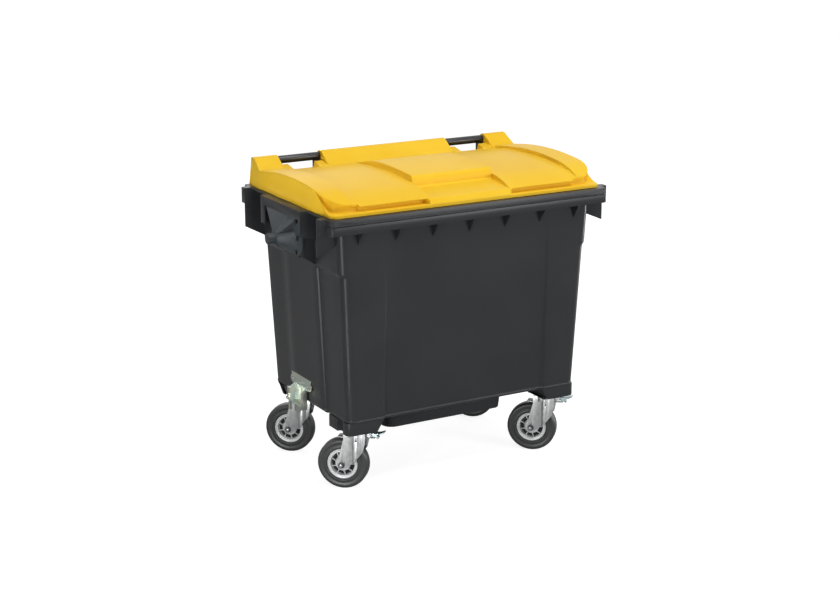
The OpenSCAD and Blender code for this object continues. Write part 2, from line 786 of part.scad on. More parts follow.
module fork_leg() {
  intersection() {
    translate([0, leg_out + bulge_out + 1, 0]) rotate([90, 0, 0]) linear_extrude(bulge_out + fork_t + 1) leg_outline();
    difference() {
      union() {
        block([-trail - 40, leg_in, 0], [100, leg_out, castor_h]);
        translate([bulge_x, leg_out + bulge_out - bulge_r, 0]) cylinder(r = bulge_r, h = castor_h);
      }
      translate([bulge_x, leg_out + bulge_out - bulge_r, 0]) cylinder(r = bulge_r - 4, h = fork_top_z - fork_t);
    }
  }
}

module fork(braked, locked) {
  color("#C9CBCC") difference() {
    union() {
      translate([0, 0, fork_top_z - fork_t]) cylinder(r = fork_head_r, h = fork_t);
      translate([0, 0, fork_top_z - 22]) difference() {
        cylinder(r = fork_head_r, h = 22);
        translate([0, 0, -1]) cylinder(r = fork_head_r - 4, h = 24);
      }
      front_and_back() fork_leg();
      if (braked)
        front_and_back()
          block([fork_head_r - 4, pedal_half + 1, pedal_pivot[2] - 11],
                [pedal_pivot[0] + 9, pedal_half + 1 + ear_t, pedal_pivot[2] + 7]);
      if (locked)
        rotate([0, 0, atan2(tab_way[1], tab_way[0])]) difference() {
          block([fork_head_r - 6, -16, tab_z], [norm(tab_way) + 12, 16, tab_z + tab_t]);
          translate([norm(tab_way), 0, tab_z - 1]) cylinder(r = plunger_r + 2, h = tab_t + 2);
        }
    }
    translate([0, 0, fork_top_z - fork_t - 1]) cylinder(r = kingpin_r + run_gap, h = fork_t + 2);
    // axle holes
    translate([-trail, leg_out + 20, wheel_r]) rotate([90, 0, 0]) cylinder(r = axle_r + run_gap, h = 2 * leg_out + 40);
    // drain holes in the bulges
    translate([bulge_x, leg_out + 20, fork_top_z - 33]) rotate([90, 0, 0]) cylinder(r = 3.5, h = 2 * leg_out + 40);
    if (braked) {
      translate([pedal_pivot[0], 40, pedal_pivot[2]]) rotate([90, 0, 0]) cylinder(r = pedal_pin_r + run_gap, h = 80);
      for (x = [-1, 1])
        translate([x * shoe_stud_x, 0, fork_top_z - fork_t - 1]) cylinder(r = shoe_stud_r + run_gap, h = fork_t + 2);
    }
  }
}

module axle() {
  color("#8A8E91") translate([-trail, 0, wheel_r]) rotate([90, 0, 0]) {
    translate([0, 0, -leg_out - 7]) cylinder(r = 10.5, h = 7, $fn = 6);
    translate([0, 0, -leg_out - 1]) cylinder(r = axle_r, h = 2 * leg_out + axle_nut_t + 4);
  }
}

module axle_nut() {
  color("#4A4D50") translate([-trail, -leg_out, wheel_r]) rotate([90, 0, 0]) difference() {
    union() {
      cylinder(r = 12.5, h = 2);
      cylinder(r = 10.8, h = axle_nut_t, $fn = 6);
    }
    translate([0, 0, -1]) cylinder(r = axle_r + 0.02, h = axle_nut_t + 2);
  }
}

// Turns a section drawn as radius and width about the axle
module about_axle() {
  translate([-trail, 0, wheel_r]) rotate([90, 0, 0]) rotate_extrude($fn = 96) children();
}

module wheel_bearing() {
  color("#6F7376") about_axle()
    translate([axle_r + run_gap, -bush_half]) square([bush_r - axle_r - run_gap, 2 * bush_half]);
}

module wheel_rim() {
  web_half = 4;
  color("#D2D4D5") difference() {
    about_axle() {
      translate([rim_in_r, -tyre_w / 2 + 4]) square([rim_out_r - rim_in_r, tyre_w - 8]);
      translate([bush_r, -web_half]) square([rim_out_r - bush_r - 2, 2 * web_half]);
      translate([bush_r, -hub_half]) square([hub_r - bush_r, 2 * hub_half]);
    }
    // windows between the spokes
    for (i = [0:spokes - 1])
      translate([-trail, 0, wheel_r]) rotate([0, i * 360 / spokes, 0])
        plate_xz(-web_half - 1, web_half + 1,
          [[hub_r + 4, -6], [rim_in_r - 2, -12], [rim_in_r - 2, 12], [hub_r + 4, 6]]);
  }
}

module tyre() {
  half = tyre_w / 2;
  shoulder = 12;
  color("#3E3F40") about_axle() {
    translate([rim_out_r, -half]) square([wheel_r - rim_out_r - shoulder, 2 * half]);
    translate([rim_out_r, -half + shoulder]) square([wheel_r - rim_out_r, 2 * (half - shoulder)]);
    for (s = [-1, 1]) translate([wheel_r - shoulder, s * (half - shoulder)]) circle(r = shoulder);
  }
}

module brake_pedal() {
  x = pedal_pivot[0];
  z = pedal_pivot[2];
  color("#B9C3C6") {
    difference() {
      translate([0, pedal_half, 0]) rotate([90, 0, 0]) linear_extrude(2 * pedal_half) {
        translate([x, z]) circle(r = 6.5);
        polygon([[x, z - 3], [x + 20, z - 1], [x + 44, z + 1], [x + 60, z + 8], [x + 58, z + 11],
                 [x + 42, z + 5], [x + 20, z + 3], [x, z + 5]]);
        polygon([[x, z - 6], [x + 26, z - 3], [x + 38, z - 12], [x + 34, z - 19], [x + 28, z - 15], [x + 3, z - 6.4]]);
        // nose that presses the shoe's tongue
        polygon([[x + 12, z - 4], [x + 20, z - 4], [x + 19, z - 16], [x + 14, z - 16]]);
      }
      // the lower lobe is narrower than the pedal
      front_and_back() block([x + 5, 9, z - 21], [x + 50, pedal_half + 1, z - 2.2]);
    }
    translate([x, pedal_half + ear_t + 4, z]) rotate([90, 0, 0])
      cylinder(r = pedal_pin_r, h = 2 * (pedal_half + ear_t + 4));
  }
}

module brake_shoe() {
  color("#8A8E91") {
    block([-72, -20, shoe_z], [36, 20, shoe_z + 3]);
    // tongue under the pedal's nose
    block([35, -7, shoe_z], [pedal_pivot[0] + 20, 7, shoe_z + 3]);
    for (x = [-1, 1])
      translate([x * shoe_stud_x, 0, shoe_z + 2]) cylinder(r = shoe_stud_r, h = fork_top_z - shoe_z - 2.3);
  }
}

module lock_bracket() {
  y0 = lock_y - 100;
  y1 = lock_y;
  face = -lock_face_x - lock_plate_t;
  out = face - 24;
  top = lock_top_z;
  color("#B7BDB0") difference() {
    union() {
      // plate on the tub, wide at the ears
      plate_yz(face, face + lock_plate_t,
        [[y0, shelf_z - 14], [y1, shelf_z - 14], [y1, ear_z - 22], [ear_y[1], ear_z - 16],
         [ear_y[1] + 8, top], [ear_y[0] - 8, top], [ear_y[0], ear_z - 16], [y0, ear_z - 22]]);
      for (y = ear_y)
        translate([face, y, ear_z]) rotate([0, 90, 0]) cylinder(r = 16, h = lock_plate_t);
      // side flanges
      plate_xz(y0, y0 + lock_plate_t,
        [[out, shelf_z - 12], [face + 1, shelf_z - 12], [face + 1, ear_z - 10], [out, ear_z - 26]]);
      plate_xz(y1 - lock_plate_t, y1,
        [[out, shelf_z - 1], [face + 1, shelf_z - 1], [face + 1, ear_z - 10], [out, ear_z - 26]]);
      // shelf that guides the plunger
      block([out, y0, shelf_z], [face + 1, y1, shelf_z + shelf_t]);
      block([plunger_pos[0] - 17, y1 - 20, shelf_z], [plunger_pos[0] + 9, plunger_pos[1], shelf_z + shelf_t]);
      translate([plunger_pos[0], plunger_pos[1], shelf_z]) {
        cylinder(r = 17, h = shelf_t);
        cylinder(r = guide_r, h = guide_top_z - shelf_z);
      }
      block([out + 4, y0 + 20, shelf_z - 30], [out + 8, y1 - 34, shelf_z + 1]);
    }
    translate([plunger_pos[0], plunger_pos[1], shelf_z - 1]) {
      cylinder(r = plunger_r + run_gap, h = shelf_t + 2);
      translate([0, 0, shelf_t + 1]) cylinder(r = guide_r - guide_wall, h = 50);
    }
    // trimmed where the shelf would meet the tub
    block([-lock_face_x + 1, 0, 0], [0, 400, shelf_z + 40]);
    for (y = ear_y)
      translate([face - 1, y, ear_z]) rotate([0, 90, 0]) cylinder(r = lock_bolt_r + bolt_clear, h = lock_plate_t + 2);
  }
}

module lock_bolts() {
  face = -lock_face_x - lock_plate_t;
  color("#9FA6A8")
    for (y = ear_y)
      translate([face, y, ear_z]) rotate([0, 90, 0]) {
        translate([0, 0, -5.5]) cylinder(r = 7.5, h = 5.5, $fn = 6);
        translate([0, 0, -1]) cylinder(r = lock_bolt_r, h = 18);
      }
}

module lock_plunger() {
  color("#C4CCCF") translate([plunger_pos[0], plunger_pos[1], 0]) {
    translate([0, 0, plunger_low_z]) cylinder(r = plunger_r, h = plunger_top_z - plunger_low_z);
    translate([0, 0, plunger_top_z - head_t]) cylinder(r = 11, h = head_t);
    // sleeve over the guide
    translate([0, 0, guide_top_z - 4]) difference() {
      cylinder(r = sleeve_r, h = plunger_top_z - head_t - guide_top_z + 5);
      translate([0, 0, -1]) cylinder(r = guide_r + rest_gap, h = plunger_top_z - head_t - guide_top_z + 7);
    }
    // collar that stops under the shelf
    translate([0, 0, shelf_z - rest_gap - 5]) cylinder(r = 9, h = 5);
  }
}

// Open coil between the shelf and the plunger's head
module lock_spring() {
  turns = 6;
  wire = spring_wire;
  coil_r = plunger_r + rest_gap + wire;
  low = shelf_z + shelf_t + wire + 0.2;
  rise = plunger_top_z - head_t - wire - 0.2 - low;
  steps = turns * 16;
  sides = 6;
  rings = [for (i = [0:steps])
    let (a = i * 360 / 16, z = low + rise * i / steps)
    for (j = [0:sides - 1])
      let (b = j * 360 / sides, r = coil_r + wire * cos(b))
      [r * cos(a), r * sin(a), z + wire * sin(b)]];
  walls = [for (i = [0:steps - 1], j = [0:sides - 1])
    let (k = (j + 1) % sides)
    [i * sides + j, (i + 1) * sides + j, (i + 1) * sides + k, i * sides + k]];
  color("#A9AEB0") translate([plunger_pos[0], plunger_pos[1], 0])
    polyhedron(rings, concat(walls, [[for (j = [0:sides - 1]) j]],
      [[for (j = [sides - 1:-1:0]) steps * sides + j]]));
}

module drain_plug() {
  z = floor_z - sump_h;
  color("#1F2022") {
    difference() {
      translate([0, 0, z - gasket_t - plug_flange_t]) cylinder(r = drain_r + 10, h = plug_flange_t);
      translate([0, 0, z - gasket_t - plug_flange_t - 1]) cylinder(r = drain_r + 4, h = 4);
    }
    translate([0, 0, z - gasket_t - 1]) cylinder(r = drain_r - run_gap, h = gasket_t + wall + 9);
    block([-4, -drain_r - 3, z - gasket_t - plug_flange_t - 7], [4, drain_r + 3, z - gasket_t - 3]);
  }
}

module drain_gasket() {
  color("#111213") translate([0, 0, floor_z - sump_h - gasket_t]) difference() {
    cylinder(r = drain_r + 8, h = gasket_t);
    translate([0, 0, -1]) cylinder(r = drain_r + 0.05, h = gasket_t + 2);
  }
}

tub();
sump();
rim();
feet();
bar_posts();
lid();
mirror([1, 0, 0]) handle_bar();  // left_handle_bar
handle_bar();  // right_handle_bar
bar_pins();
mirror([1, 0, 0]) trunnion();  // left_trunnion
trunnion();  // right_trunnion
mirror([1, 0, 0]) trunnion_bolts_group();  // left_trunnion_bolts
trunnion_bolts_group();  // right_trunnion_bolts
at_castor(front_left) mount_plate();  // front_left_mount_plate
at_castor(front_right) mount_plate();  // front_right_mount_plate
at_castor(rear_left) mount_plate();  // rear_left_mount_plate
at_castor(rear_right) mount_plate();  // rear_right_mount_plate
castor_plate_bolts();
at_castor(front_left) swivel_bearing();  // front_left_swivel_bearing
at_castor(front_right) swivel_bearing();  // front_right_swivel_bearing
at_castor(rear_left) swivel_bearing();  // rear_left_swivel_bearing
at_castor(rear_right) swivel_bearing();  // rear_right_swivel_bearing
at_castor(front_left) kingpin();  // front_left_kingpin
at_castor(front_right) kingpin();  // front_right_kingpin
at_castor(rear_left) kingpin();  // rear_left_kingpin
at_castor(rear_right) kingpin();  // rear_right_kingpin
turned(front_left) fork(true, false);  // front_left_fork
turned(front_right) fork(true, false);  // front_right_fork
turned(rear_left) fork(false, true);  // rear_left_fork
turned(rear_right) fork(false, false);  // rear_right_fork
turned(front_left) axle();  // front_left_axle
turned(front_right) axle();  // front_right_axle
turned(rear_left) axle();  // rear_left_axle
turned(rear_right) axle();  // rear_right_axle
turned(front_left) axle_nut();  // front_left_axle_nut
turned(front_right) axle_nut();  // front_right_axle_nut
turned(rear_left) axle_nut();  // rear_left_axle_nut
turned(rear_right) axle_nut();  // rear_right_axle_nut
turned(front_left) wheel_bearing();  // front_left_wheel_bearing
turned(front_right) wheel_bearing();  // front_right_wheel_bearing
turned(rear_left) wheel_bearing();  // rear_left_wheel_bearing
turned(rear_right) wheel_bearing();  // rear_right_wheel_bearing
turned(front_left) wheel_rim();  // front_left_wheel_rim
turned(front_right) wheel_rim();  // front_right_wheel_rim
turned(rear_left) wheel_rim();  // rear_left_wheel_rim
turned(rear_right) wheel_rim();  // rear_right_wheel_rim
turned(front_left) tyre();  // front_left_tyre
turned(front_right) tyre();  // front_right_tyre
turned(rear_left) tyre();  // rear_left_tyre
turned(rear_right) tyre();  // rear_right_tyre
turned(front_left) brake_pedal();  // front_left_brake_pedal
turned(front_right) brake_pedal();  // front_right_brake_pedal
turned(front_left) brake_shoe();  // front_left_brake_shoe
turned(front_right) brake_shoe();  // front_right_brake_shoe
lock_bracket();
lock_bolts();
lock_plunger();
lock_spring();
drain_plug();
drain_gasket();
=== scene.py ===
"""Looks of a four-wheeled waste container: moulded tub and lid, zinc plated castors and fittings."""
import json
import math

import bmesh
import bpy
from mathutils import Matrix, Vector


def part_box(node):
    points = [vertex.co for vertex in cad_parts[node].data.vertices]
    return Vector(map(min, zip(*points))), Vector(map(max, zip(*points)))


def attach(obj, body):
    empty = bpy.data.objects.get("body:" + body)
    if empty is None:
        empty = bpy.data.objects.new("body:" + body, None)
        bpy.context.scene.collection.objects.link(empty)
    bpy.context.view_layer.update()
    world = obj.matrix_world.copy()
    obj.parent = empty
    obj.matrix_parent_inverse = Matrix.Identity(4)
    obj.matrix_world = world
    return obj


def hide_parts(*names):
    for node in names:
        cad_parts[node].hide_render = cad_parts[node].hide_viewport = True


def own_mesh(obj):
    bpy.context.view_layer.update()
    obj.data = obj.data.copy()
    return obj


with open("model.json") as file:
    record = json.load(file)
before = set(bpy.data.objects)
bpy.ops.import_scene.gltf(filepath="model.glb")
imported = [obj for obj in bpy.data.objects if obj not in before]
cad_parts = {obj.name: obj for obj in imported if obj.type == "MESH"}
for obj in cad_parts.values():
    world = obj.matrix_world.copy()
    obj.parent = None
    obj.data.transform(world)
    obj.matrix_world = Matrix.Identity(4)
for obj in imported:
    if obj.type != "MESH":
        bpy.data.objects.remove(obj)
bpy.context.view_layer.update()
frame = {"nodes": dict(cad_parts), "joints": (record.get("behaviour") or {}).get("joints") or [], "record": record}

MM = 0.001
CORNERS = {"front_left": (-1, -1), "front_right": (1, -1), "rear_left": (-1, 1), "rear_right": (1, 1)}

# ---------------------------------------------------------------- sizes, in millimetres
# read from the frame
JOINTS = {joint["name"]: joint for joint in frame["joints"]}
MOUNTS = {mount["name"]: mount for mount in frame["record"]["mounts"]}


def box_mm(node):
    """The lowest and the highest corner of a frame node."""
    return [tuple(v / MM for v in corner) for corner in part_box(node)]


LID_LOW, LID_HIGH = box_mm("lid")
LID_X, LID_REAR = LID_HIGH[:2]
LID_FRONT, LID_Z = LID_LOW[1:]
TUB_X, TUB_Y = box_mm("tub")[1][:2]  # half width and half depth under the rim
RIM_Y = box_mm("rim")[1][1]
PLATE_LOW, PLATE_HIGH = box_mm("front_right_mount_plate")
CASTOR_X = (PLATE_LOW[0] + PLATE_HIGH[0]) / 2
CASTOR_Y = -(PLATE_LOW[1] + PLATE_HIGH[1]) / 2
CASTOR_H = PLATE_HIGH[2]
TYRE_LOW, TYRE_HIGH = box_mm("front_right_tyre")
WHEEL_R = (TYRE_HIGH[2] - TYRE_LOW[2]) / 2
HINGE_Y, HINGE_Z = (v / MM for v in JOINTS["lid_hinge"]["pos_m"][1:])
TRUNNION_Y, TRUNNION_Z = (v / MM for v in MOUNTS["left_trunnion_pin"]["pos_m"][1:])

# repeated from the part's own sizes
FOOT_H, WALL_H, RIM_H = 40, 755, 57
LEAN_X, LEAN_Y = 35.5, 22           # how far the sides and the ends lean in towards the floor
LEDGE_DROP = 168                    # from the rim down to the ledge on the sides
FLOOR_Z = CASTOR_H + FOOT_H
RIM_LOW = FLOOR_Z + WALL_H
RIM_TOP = RIM_LOW + RIM_H
LEDGE_Z = RIM_LOW - LEDGE_DROP


def smooth(a, b, x):
    """0 below a, 1 above b and an S-shaped step between them."""
    t = min(1.0, max(0.0, (x - a) / (b - a)))
    return t * t * (3 - 2 * t)


def mix(a, b, t):
    """The point or number at t between a and b."""
    if isinstance(a, tuple):
        return tuple(p + (q - p) * t for p, q in zip(a, b))
    return a + (b - a) * t


def spaced(a, b, step):
    """Numbers from a up to b, no further than step apart."""
    n = max(1, math.ceil(abs(b - a) / step))
    return [a + (b - a) * i / n for i in range(n)]


# ---------------------------------------------------------------- meshes

def new_object(name, vertices, faces, scale=MM):
    """An object at the origin from vertices in millimetres."""
    mesh = bpy.data.meshes.new(name)
    mesh.from_pydata([tuple(c * scale for c in v) for v in vertices], [], faces)
    obj = bpy.data.objects.new(name, mesh)
    bpy.context.scene.collection.objects.link(obj)
    return obj


def outward(obj, merge=1e-6):
    """Merges doubles and turns every face of a closed mesh outwards."""
    bm = bmesh.new()
    bm.from_mesh(obj.data)
    bmesh.ops.remove_doubles(bm, verts=bm.verts, dist=merge)
    bmesh.ops.dissolve_degenerate(bm, edges=bm.edges, dist=merge)
    bmesh.ops.recalc_face_normals(bm, faces=bm.faces)
    bm.to_mesh(obj.data)
    bm.free()


def shade(obj, angle=35):
    """Smooth shading, with edges sharper than angle left crisp."""
    obj.data.polygons.foreach_set("use_smooth", [True] * len(obj.data.polygons))
    obj.data.set_sharp_from_angle(angle=math.radians(angle))


def bake_modifiers(obj):
    """Replaces the object's mesh with what its modifiers make of it."""
    graph = bpy.context.evaluated_depsgraph_get()
    mesh = bpy.data.meshes.new_from_object(obj.evaluated_get(graph))
    obj.modifiers.clear()
    obj.data = mesh


def soften(obj, width, segments=2, angle=30):
    """Rounds the edges that are sharper than angle by width, in millimetres."""
    bevel = obj.modifiers.new("edge radius", "BEVEL")
    bevel.width = width * MM
    bevel.segments = segments
    bevel.limit_method = "ANGLE"
    bevel.angle_limit = math.radians(angle)
    bevel.use_clamp_overlap = True
    bevel.harden_normals = False
    bake_modifiers(obj)


def loft(rings, closed_rings=True, joined_ends=False):
    """Vertices and quads through rings of equally many points."""
    count = len(rings[0])
    vertices = [p for ring in rings for p in ring]
    faces = []
    last = len(rings) if joined_ends else len(rings) - 1
    for r in range(last):
        a, b = r * count, (r + 1) % len(rings) * count
        for i in range(count if closed_rings else count - 1):
            k = (i + 1) % count
            faces.append((a + i, a + k, b + k, b + i))
    return vertices, faces


def prism(points, axis, low, high):
    """Vertices and faces of an outline in the two other axes, drawn from low to high along axis."""
    def place(p, along):
        return {"x": (along, p[0], p[1]), "y": (p[0], along, p[1]), "z": (p[0], p[1], along)}[axis]
    n = len(points)
    vertices = [place(p, low) for p in points] + [place(p, high) for p in points]
    faces = [tuple(range(n)), tuple(range(2 * n - 1, n - 1, -1))]
    faces += [(i, (i + 1) % n, (i + 1) % n + n, i + n) for i in range(n)]
    return vertices, faces


def block(low, high):
    """Vertices and faces of a box between two corners."""
    outline = [(low[0], low[1]), (high[0], low[1]), (high[0], high[1]), (low[0], high[1])]
    return prism(outline, "z", low[2], high[2])


def mirrored(shape, axes):
    """The shape with its signs changed along axes, such as (-1, 1, 1)."""
    vertices, faces = shape
    return [tuple(c * s for c, s in zip(v, axes)) for v in vertices], faces


def assembled(name, shapes):
    """One object from several closed shapes."""
    vertices, faces = [], []
    for more_vertices, more_faces in shapes:
        base = len(vertices)
        vertices += more_vertices
        faces += [tuple(i + base for i in face) for face in more_faces]
    return new_object(name, vertices, faces)


def arc(cx, cy, r, start, end, steps):
    """Points on an arc, angles in degrees."""
    angles = [math.radians(start + (end - start) * i / steps) for i in range(steps + 1)]
    return [(cx + r * math.cos(a), cy + r * math.sin(a)) for a in angles]


# ---------------------------------------------------------------- materials

def colour(hex_code):
    """An sRGB hex value as linear red, green, blue and alpha."""
    channels = [int(hex_code[i:i + 2], 16) / 255 for i in (1, 3, 5)]
    linear = [c / 12.92 if c <= 0.04045 else ((c + 0.055) / 1.055) ** 2.4 for c in channels]
    return (*linear, 1.0)


def add(tree, kind, inputs=None, stops=(), **settings):
    """Adds a node with its settings, its inputs (values or links) and the stops of a colour ramp."""
    made = tree.nodes.new(kind)
    for name, value in settings.items():
        setattr(made, name, value)
    for name, value in (inputs or {}).items():
        if isinstance(value, bpy.types.NodeSocket):
            tree.links.new(value, made.inputs[name])
        else:
            made.inputs[name].default_value = value
    if stops:
        made.color_ramp.interpolation = "EASE"
        points = made.color_ramp.elements
        while len(points) < len(stops):
            points.new(0.5)
        for point, (position, hex_code) in zip(points, stops):
            point.position = position
            point.color = colour(hex_code)
    return made


def across(mm):
    """The scale of a pattern whose blotches or cells are so many millimetres across."""
    return 1 / (mm * MM)


def new_material(name):
    """An empty material, its node tree and its object coordinates."""
    material = bpy.data.materials.new(name)
    material.use_nodes = True
    tree = material.node_tree
    tree.nodes.clear()
    place = add(tree, "ShaderNodeTexCoord").outputs["Object"]
    return material, tree, place


def finish_surface(tree, inputs):
    """The principled shader with these inputs, joined to the output."""
    shader = add(tree, "ShaderNodeBsdfPrincipled", inputs)
    add(tree, "ShaderNodeOutputMaterial", {"Surface": shader.outputs["BSDF"]})


def moulded_plastic(name, dark, light, rough, shine=0.2):
    """Injection moulded HDPE: a waxy satin skin with mould grain, slow waves and faint clouds.

    The grain of a real mould is about 0.3 mm; it is drawn five times as coarse so that it shows.
    The gloss stays above 0.28, because smoother spots among rougher ones leave marks in a render.
    """
    material, tree, place = new_material(name)
    clouds = add(tree, "ShaderNodeTexNoise", {
        "Vector": place, "Scale": across(260), "Detail": 3.0, "Roughness": 0.45})
    base = add(tree, "ShaderNodeValToRGB", {"Fac": clouds.outputs["Fac"]},
               stops=[(0.32, dark), (0.68, light)])
    grain = add(tree, "ShaderNodeTexNoise", {
        "Vector": place, "Scale": across(1.6), "Detail": 2.0, "Roughness": 0.6})
    waves = add(tree, "ShaderNodeTexNoise", {
        "Vector": place, "Scale": across(90), "Detail": 1.0, "Roughness": 0.4})
    patches = add(tree, "ShaderNodeTexNoise", {
        "Vector": place, "Scale": across(55), "Detail": 4.0, "Roughness": 0.6})
    gloss = add(tree, "ShaderNodeMapRange", {
        "Value": patches.outputs["Fac"], "To Min": rough - 0.02, "To Max": rough + 0.02})
    fine = add(tree, "ShaderNodeBump", {
        "Height": grain.outputs["Fac"], "Distance": 0.02 * MM, "Strength": 0.55})
    coarse = add(tree, "ShaderNodeBump", {
        "Height": waves.outputs["Fac"], "Distance": 0.25 * MM, "Strength": 0.35,
        "Normal": fine.outputs["Normal"]})
    finish_surface(tree, {
        "Base Color": base.outputs["Color"], "Roughness": gloss.outputs["Result"], "IOR": 1.5,
        "Specular IOR Level": shine, "Normal": coarse.outputs["Normal"]})
    return material


def plated_metal(name, tones, rough, spangle_mm, lines_mm=0.0, pits_mm=0.03):
    """Zinc plated pressed steel: soft grey metal whose tint drifts, with faint spangle and pits.

    lines_mm is how deep the rolling lines are, and pits_mm the pits.
    """
    material, tree, place = new_material(name)
    drift = add(tree, "ShaderNodeTexNoise", {
        "Vector": place, "Scale": across(spangle_mm * 3.2), "Detail": 2.0, "Roughness": 0.5})
    base = add(tree, "ShaderNodeValToRGB", {"Fac": drift.outputs["Fac"]}, stops=tones)
    spangle = add(tree, "ShaderNodeTexVoronoi", {"Vector": place, "Scale": across(spangle_mm)})
    gloss = add(tree, "ShaderNodeMapRange", {
        "Value": spangle.outputs["Distance"], "To Min": rough - 0.07, "To Max": rough + 0.07})
    pits = add(tree, "ShaderNodeTexNoise", {
        "Vector": place, "Scale": across(1.3), "Detail": 4.0, "Roughness": 0.7})
    relief = add(tree, "ShaderNodeBump", {
        "Height": pits.outputs["Fac"], "Distance": pits_mm * MM, "Strength": 0.5})
    if lines_mm:
        drawn_out = add(tree, "ShaderNodeMapping", {"Vector": place, "Scale": (1.0, 1.0, 0.05)})
        lines = add(tree, "ShaderNodeTexNoise", {
            "Vector": drawn_out.outputs["Vector"], "Scale": across(0.9), "Detail": 2.0,
            "Roughness": 0.5})
        relief = add(tree, "ShaderNodeBump", {
            "Height": lines.outputs["Fac"], "Distance": lines_mm * MM, "Strength": 0.5,
            "Normal": relief.outputs["Normal"]})
    finish_surface(tree, {
        "Base Color": base.outputs["Color"], "Metallic": 1.0, "Roughness": gloss.outputs["Result"],
        "Normal": relief.outputs["Normal"]})
    return material


def coated_metal(name, dark, light, rough, texture_mm, depth_mm, metallic=0.0):
    """Powder coated, lacquered or cast and painted metal: even colour on orange peel or sand."""
    material, tree, place = new_material(name)
    clouds = add(tree, "ShaderNodeTexNoise", {
        "Vector": place, "Scale": across(40), "Detail": 3.0, "Roughness": 0.5})
    base = add(tree, "ShaderNodeValToRGB", {"Fac": clouds.outputs["Fac"]},
               stops=[(0.3, dark), (0.7, light)])
    skin = add(tree, "ShaderNodeTexNoise", {
        "Vector": place, "Scale": across(texture_mm), "Detail": 3.0, "Roughness": 0.6})
    patches = add(tree, "ShaderNodeTexNoise", {
        "Vector": place, "Scale": across(18), "Detail": 3.0, "Roughness": 0.6})
    gloss = add(tree, "ShaderNodeMapRange", {
        "Value": patches.outputs["Fac"], "To Min": rough - 0.05, "To Max": rough + 0.07})
    relief = add(tree, "ShaderNodeBump", {
        "Height": skin.outputs["Fac"], "Distance": depth_mm * MM, "Strength": 0.6})
    finish_surface(tree, {
        "Base Color": base.outputs["Color"], "Metallic": metallic,
        "Roughness": gloss.outputs["Result"], "Normal": relief.outputs["Normal"]})
    return material


def rubber(name, dark, light, rough):
    """Moulded rubber: a dull grey skin with dust in its fine grain."""
    material, tree, place = new_material(name)
    dust = add(tree, "ShaderNodeTexNoise", {
        "Vector": place, "Scale": across(14), "Detail": 5.0, "Roughness": 0.65})
    base = add(tree, "ShaderNodeValToRGB", {"Fac": dust.outputs["Fac"]},
               stops=[(0.35, dark), (0.75, light)])
    grain = add(tree, "ShaderNodeTexNoise", {
        "Vector": place, "Scale": across(0.9), "Detail": 3.0, "Roughness": 0.6})
    patches = add(tree, "ShaderNodeTexNoise", {
        "Vector": place, "Scale": across(9), "Detail": 3.0, "Roughness": 0.6})
    gloss = add(tree, "ShaderNodeMapRange", {
        "Value": patches.outputs["Fac"], "To Min": rough - 0.06, "To Max": rough + 0.08})
    relief = add(tree, "ShaderNodeBump", {
        "Height": grain.outputs["Fac"], "Distance": 0.06 * MM, "Strength": 0.6})
    finish_surface(tree, {
        "Base Color": base.outputs["Color"], "Roughness": gloss.outputs["Result"],
        "Specular IOR Level": 0.5, "Normal": relief.outputs["Normal"]})
    return material


# dark grey, with a soft sheen that brightens towards grazing light
BODY_HDPE = moulded_plastic("moulded anthracite HDPE", "#2D2E30", "#303133", 0.30)
# warm yellow and nearly matt, so that its colour stays even over the dome
LID_HDPE = moulded_plastic("moulded yellow HDPE", "#EABC2C", "#EDC235", 0.36, 0.06)
PLUG_PLASTIC = moulded_plastic("moulded black plug", "#161718", "#1B1C1D", 0.45, 0.4)
# neutral bright grey with faint upright rolling lines
FORK_ZINC = plated_metal("bright zinc plated pressing", [(0.3, "#BFC0C1"), (0.7, "#D0D1D1")],
                         0.40, 5.0, lines_mm=0.02)
# passivated zinc, which drifts from bluish to straw
LOCK_ZINC = plated_metal("yellowish zinc plated bracket",
                         [(0.25, "#A9C2C8"), (0.5, "#C2C8BC"), (0.75, "#CFCBB2")], 0.34, 7.0)
PEDAL_ZINC = plated_metal("bluish zinc plated pedal",
                          [(0.3, "#A5C0C9"), (0.65, "#C5D0CE"), (0.85, "#D2CBAE")], 0.36, 5.0,
                          pits_mm=0.01)
BOLT_ZINC = plated_metal("zinc plated bolt", [(0.3, "#A3AAAE"), (0.7, "#C0C4C4")], 0.32, 2.0)
# darker than zinc and shinier, with a film of oil
BEARING_STEEL = plated_metal("oiled bearing steel", [(0.3, "#6D7073"), (0.7, "#85888A")], 0.28, 3.0)
DARK_OXIDE = coated_metal("dark oxide nut", "#3B3D3F", "#4B4D4F", 0.42, 0.8, 0.03, 0.6)
BLACK_BOLT = coated_metal("blackened bolt", "#1B1D1E", "#222425", 0.40, 0.8, 0.02, 0.3)
# near-black, painted shade: the webs are this dark to stand in for the shade deep in the pockets between the fins
WEB_PAINTED_SHADE = coated_metal("wheel web painted dark as shade", "#0B0B0C", "#101011", 0.50, 1.2, 0.02)
# black with narrow highlights along the tube
BAR_COAT = coated_metal("black coated steel tube", "#18191A", "#1E1F20", 0.30, 1.4, 0.03)
PLATE_COAT = coated_metal("black coated plate", "#1D1E1F", "#252627", 0.45, 1.4, 0.03)
# bluish grey paint over the grain of the sand mould
CAST_GREY = coated_metal("sand cast painted trunnion", "#282E32", "#2E3438", 0.50, 1.8, 0.09)
# light silver that stays bright in the shade of the fork
RIM_SILVER = coated_metal("silver lacquered wheel rim", "#D6D7D8", "#E2E3E3", 0.32, 1.2, 0.02, 0.15)
# grey with a broad dull shine round the shoulder
TYRE_RUBBER = rubber("solid grey rubber", "#353636", "#3A3B3B", 0.34)
SEAL_RUBBER = rubber("soft black rubber", "#141516", "#1C1D1E", 0.55)

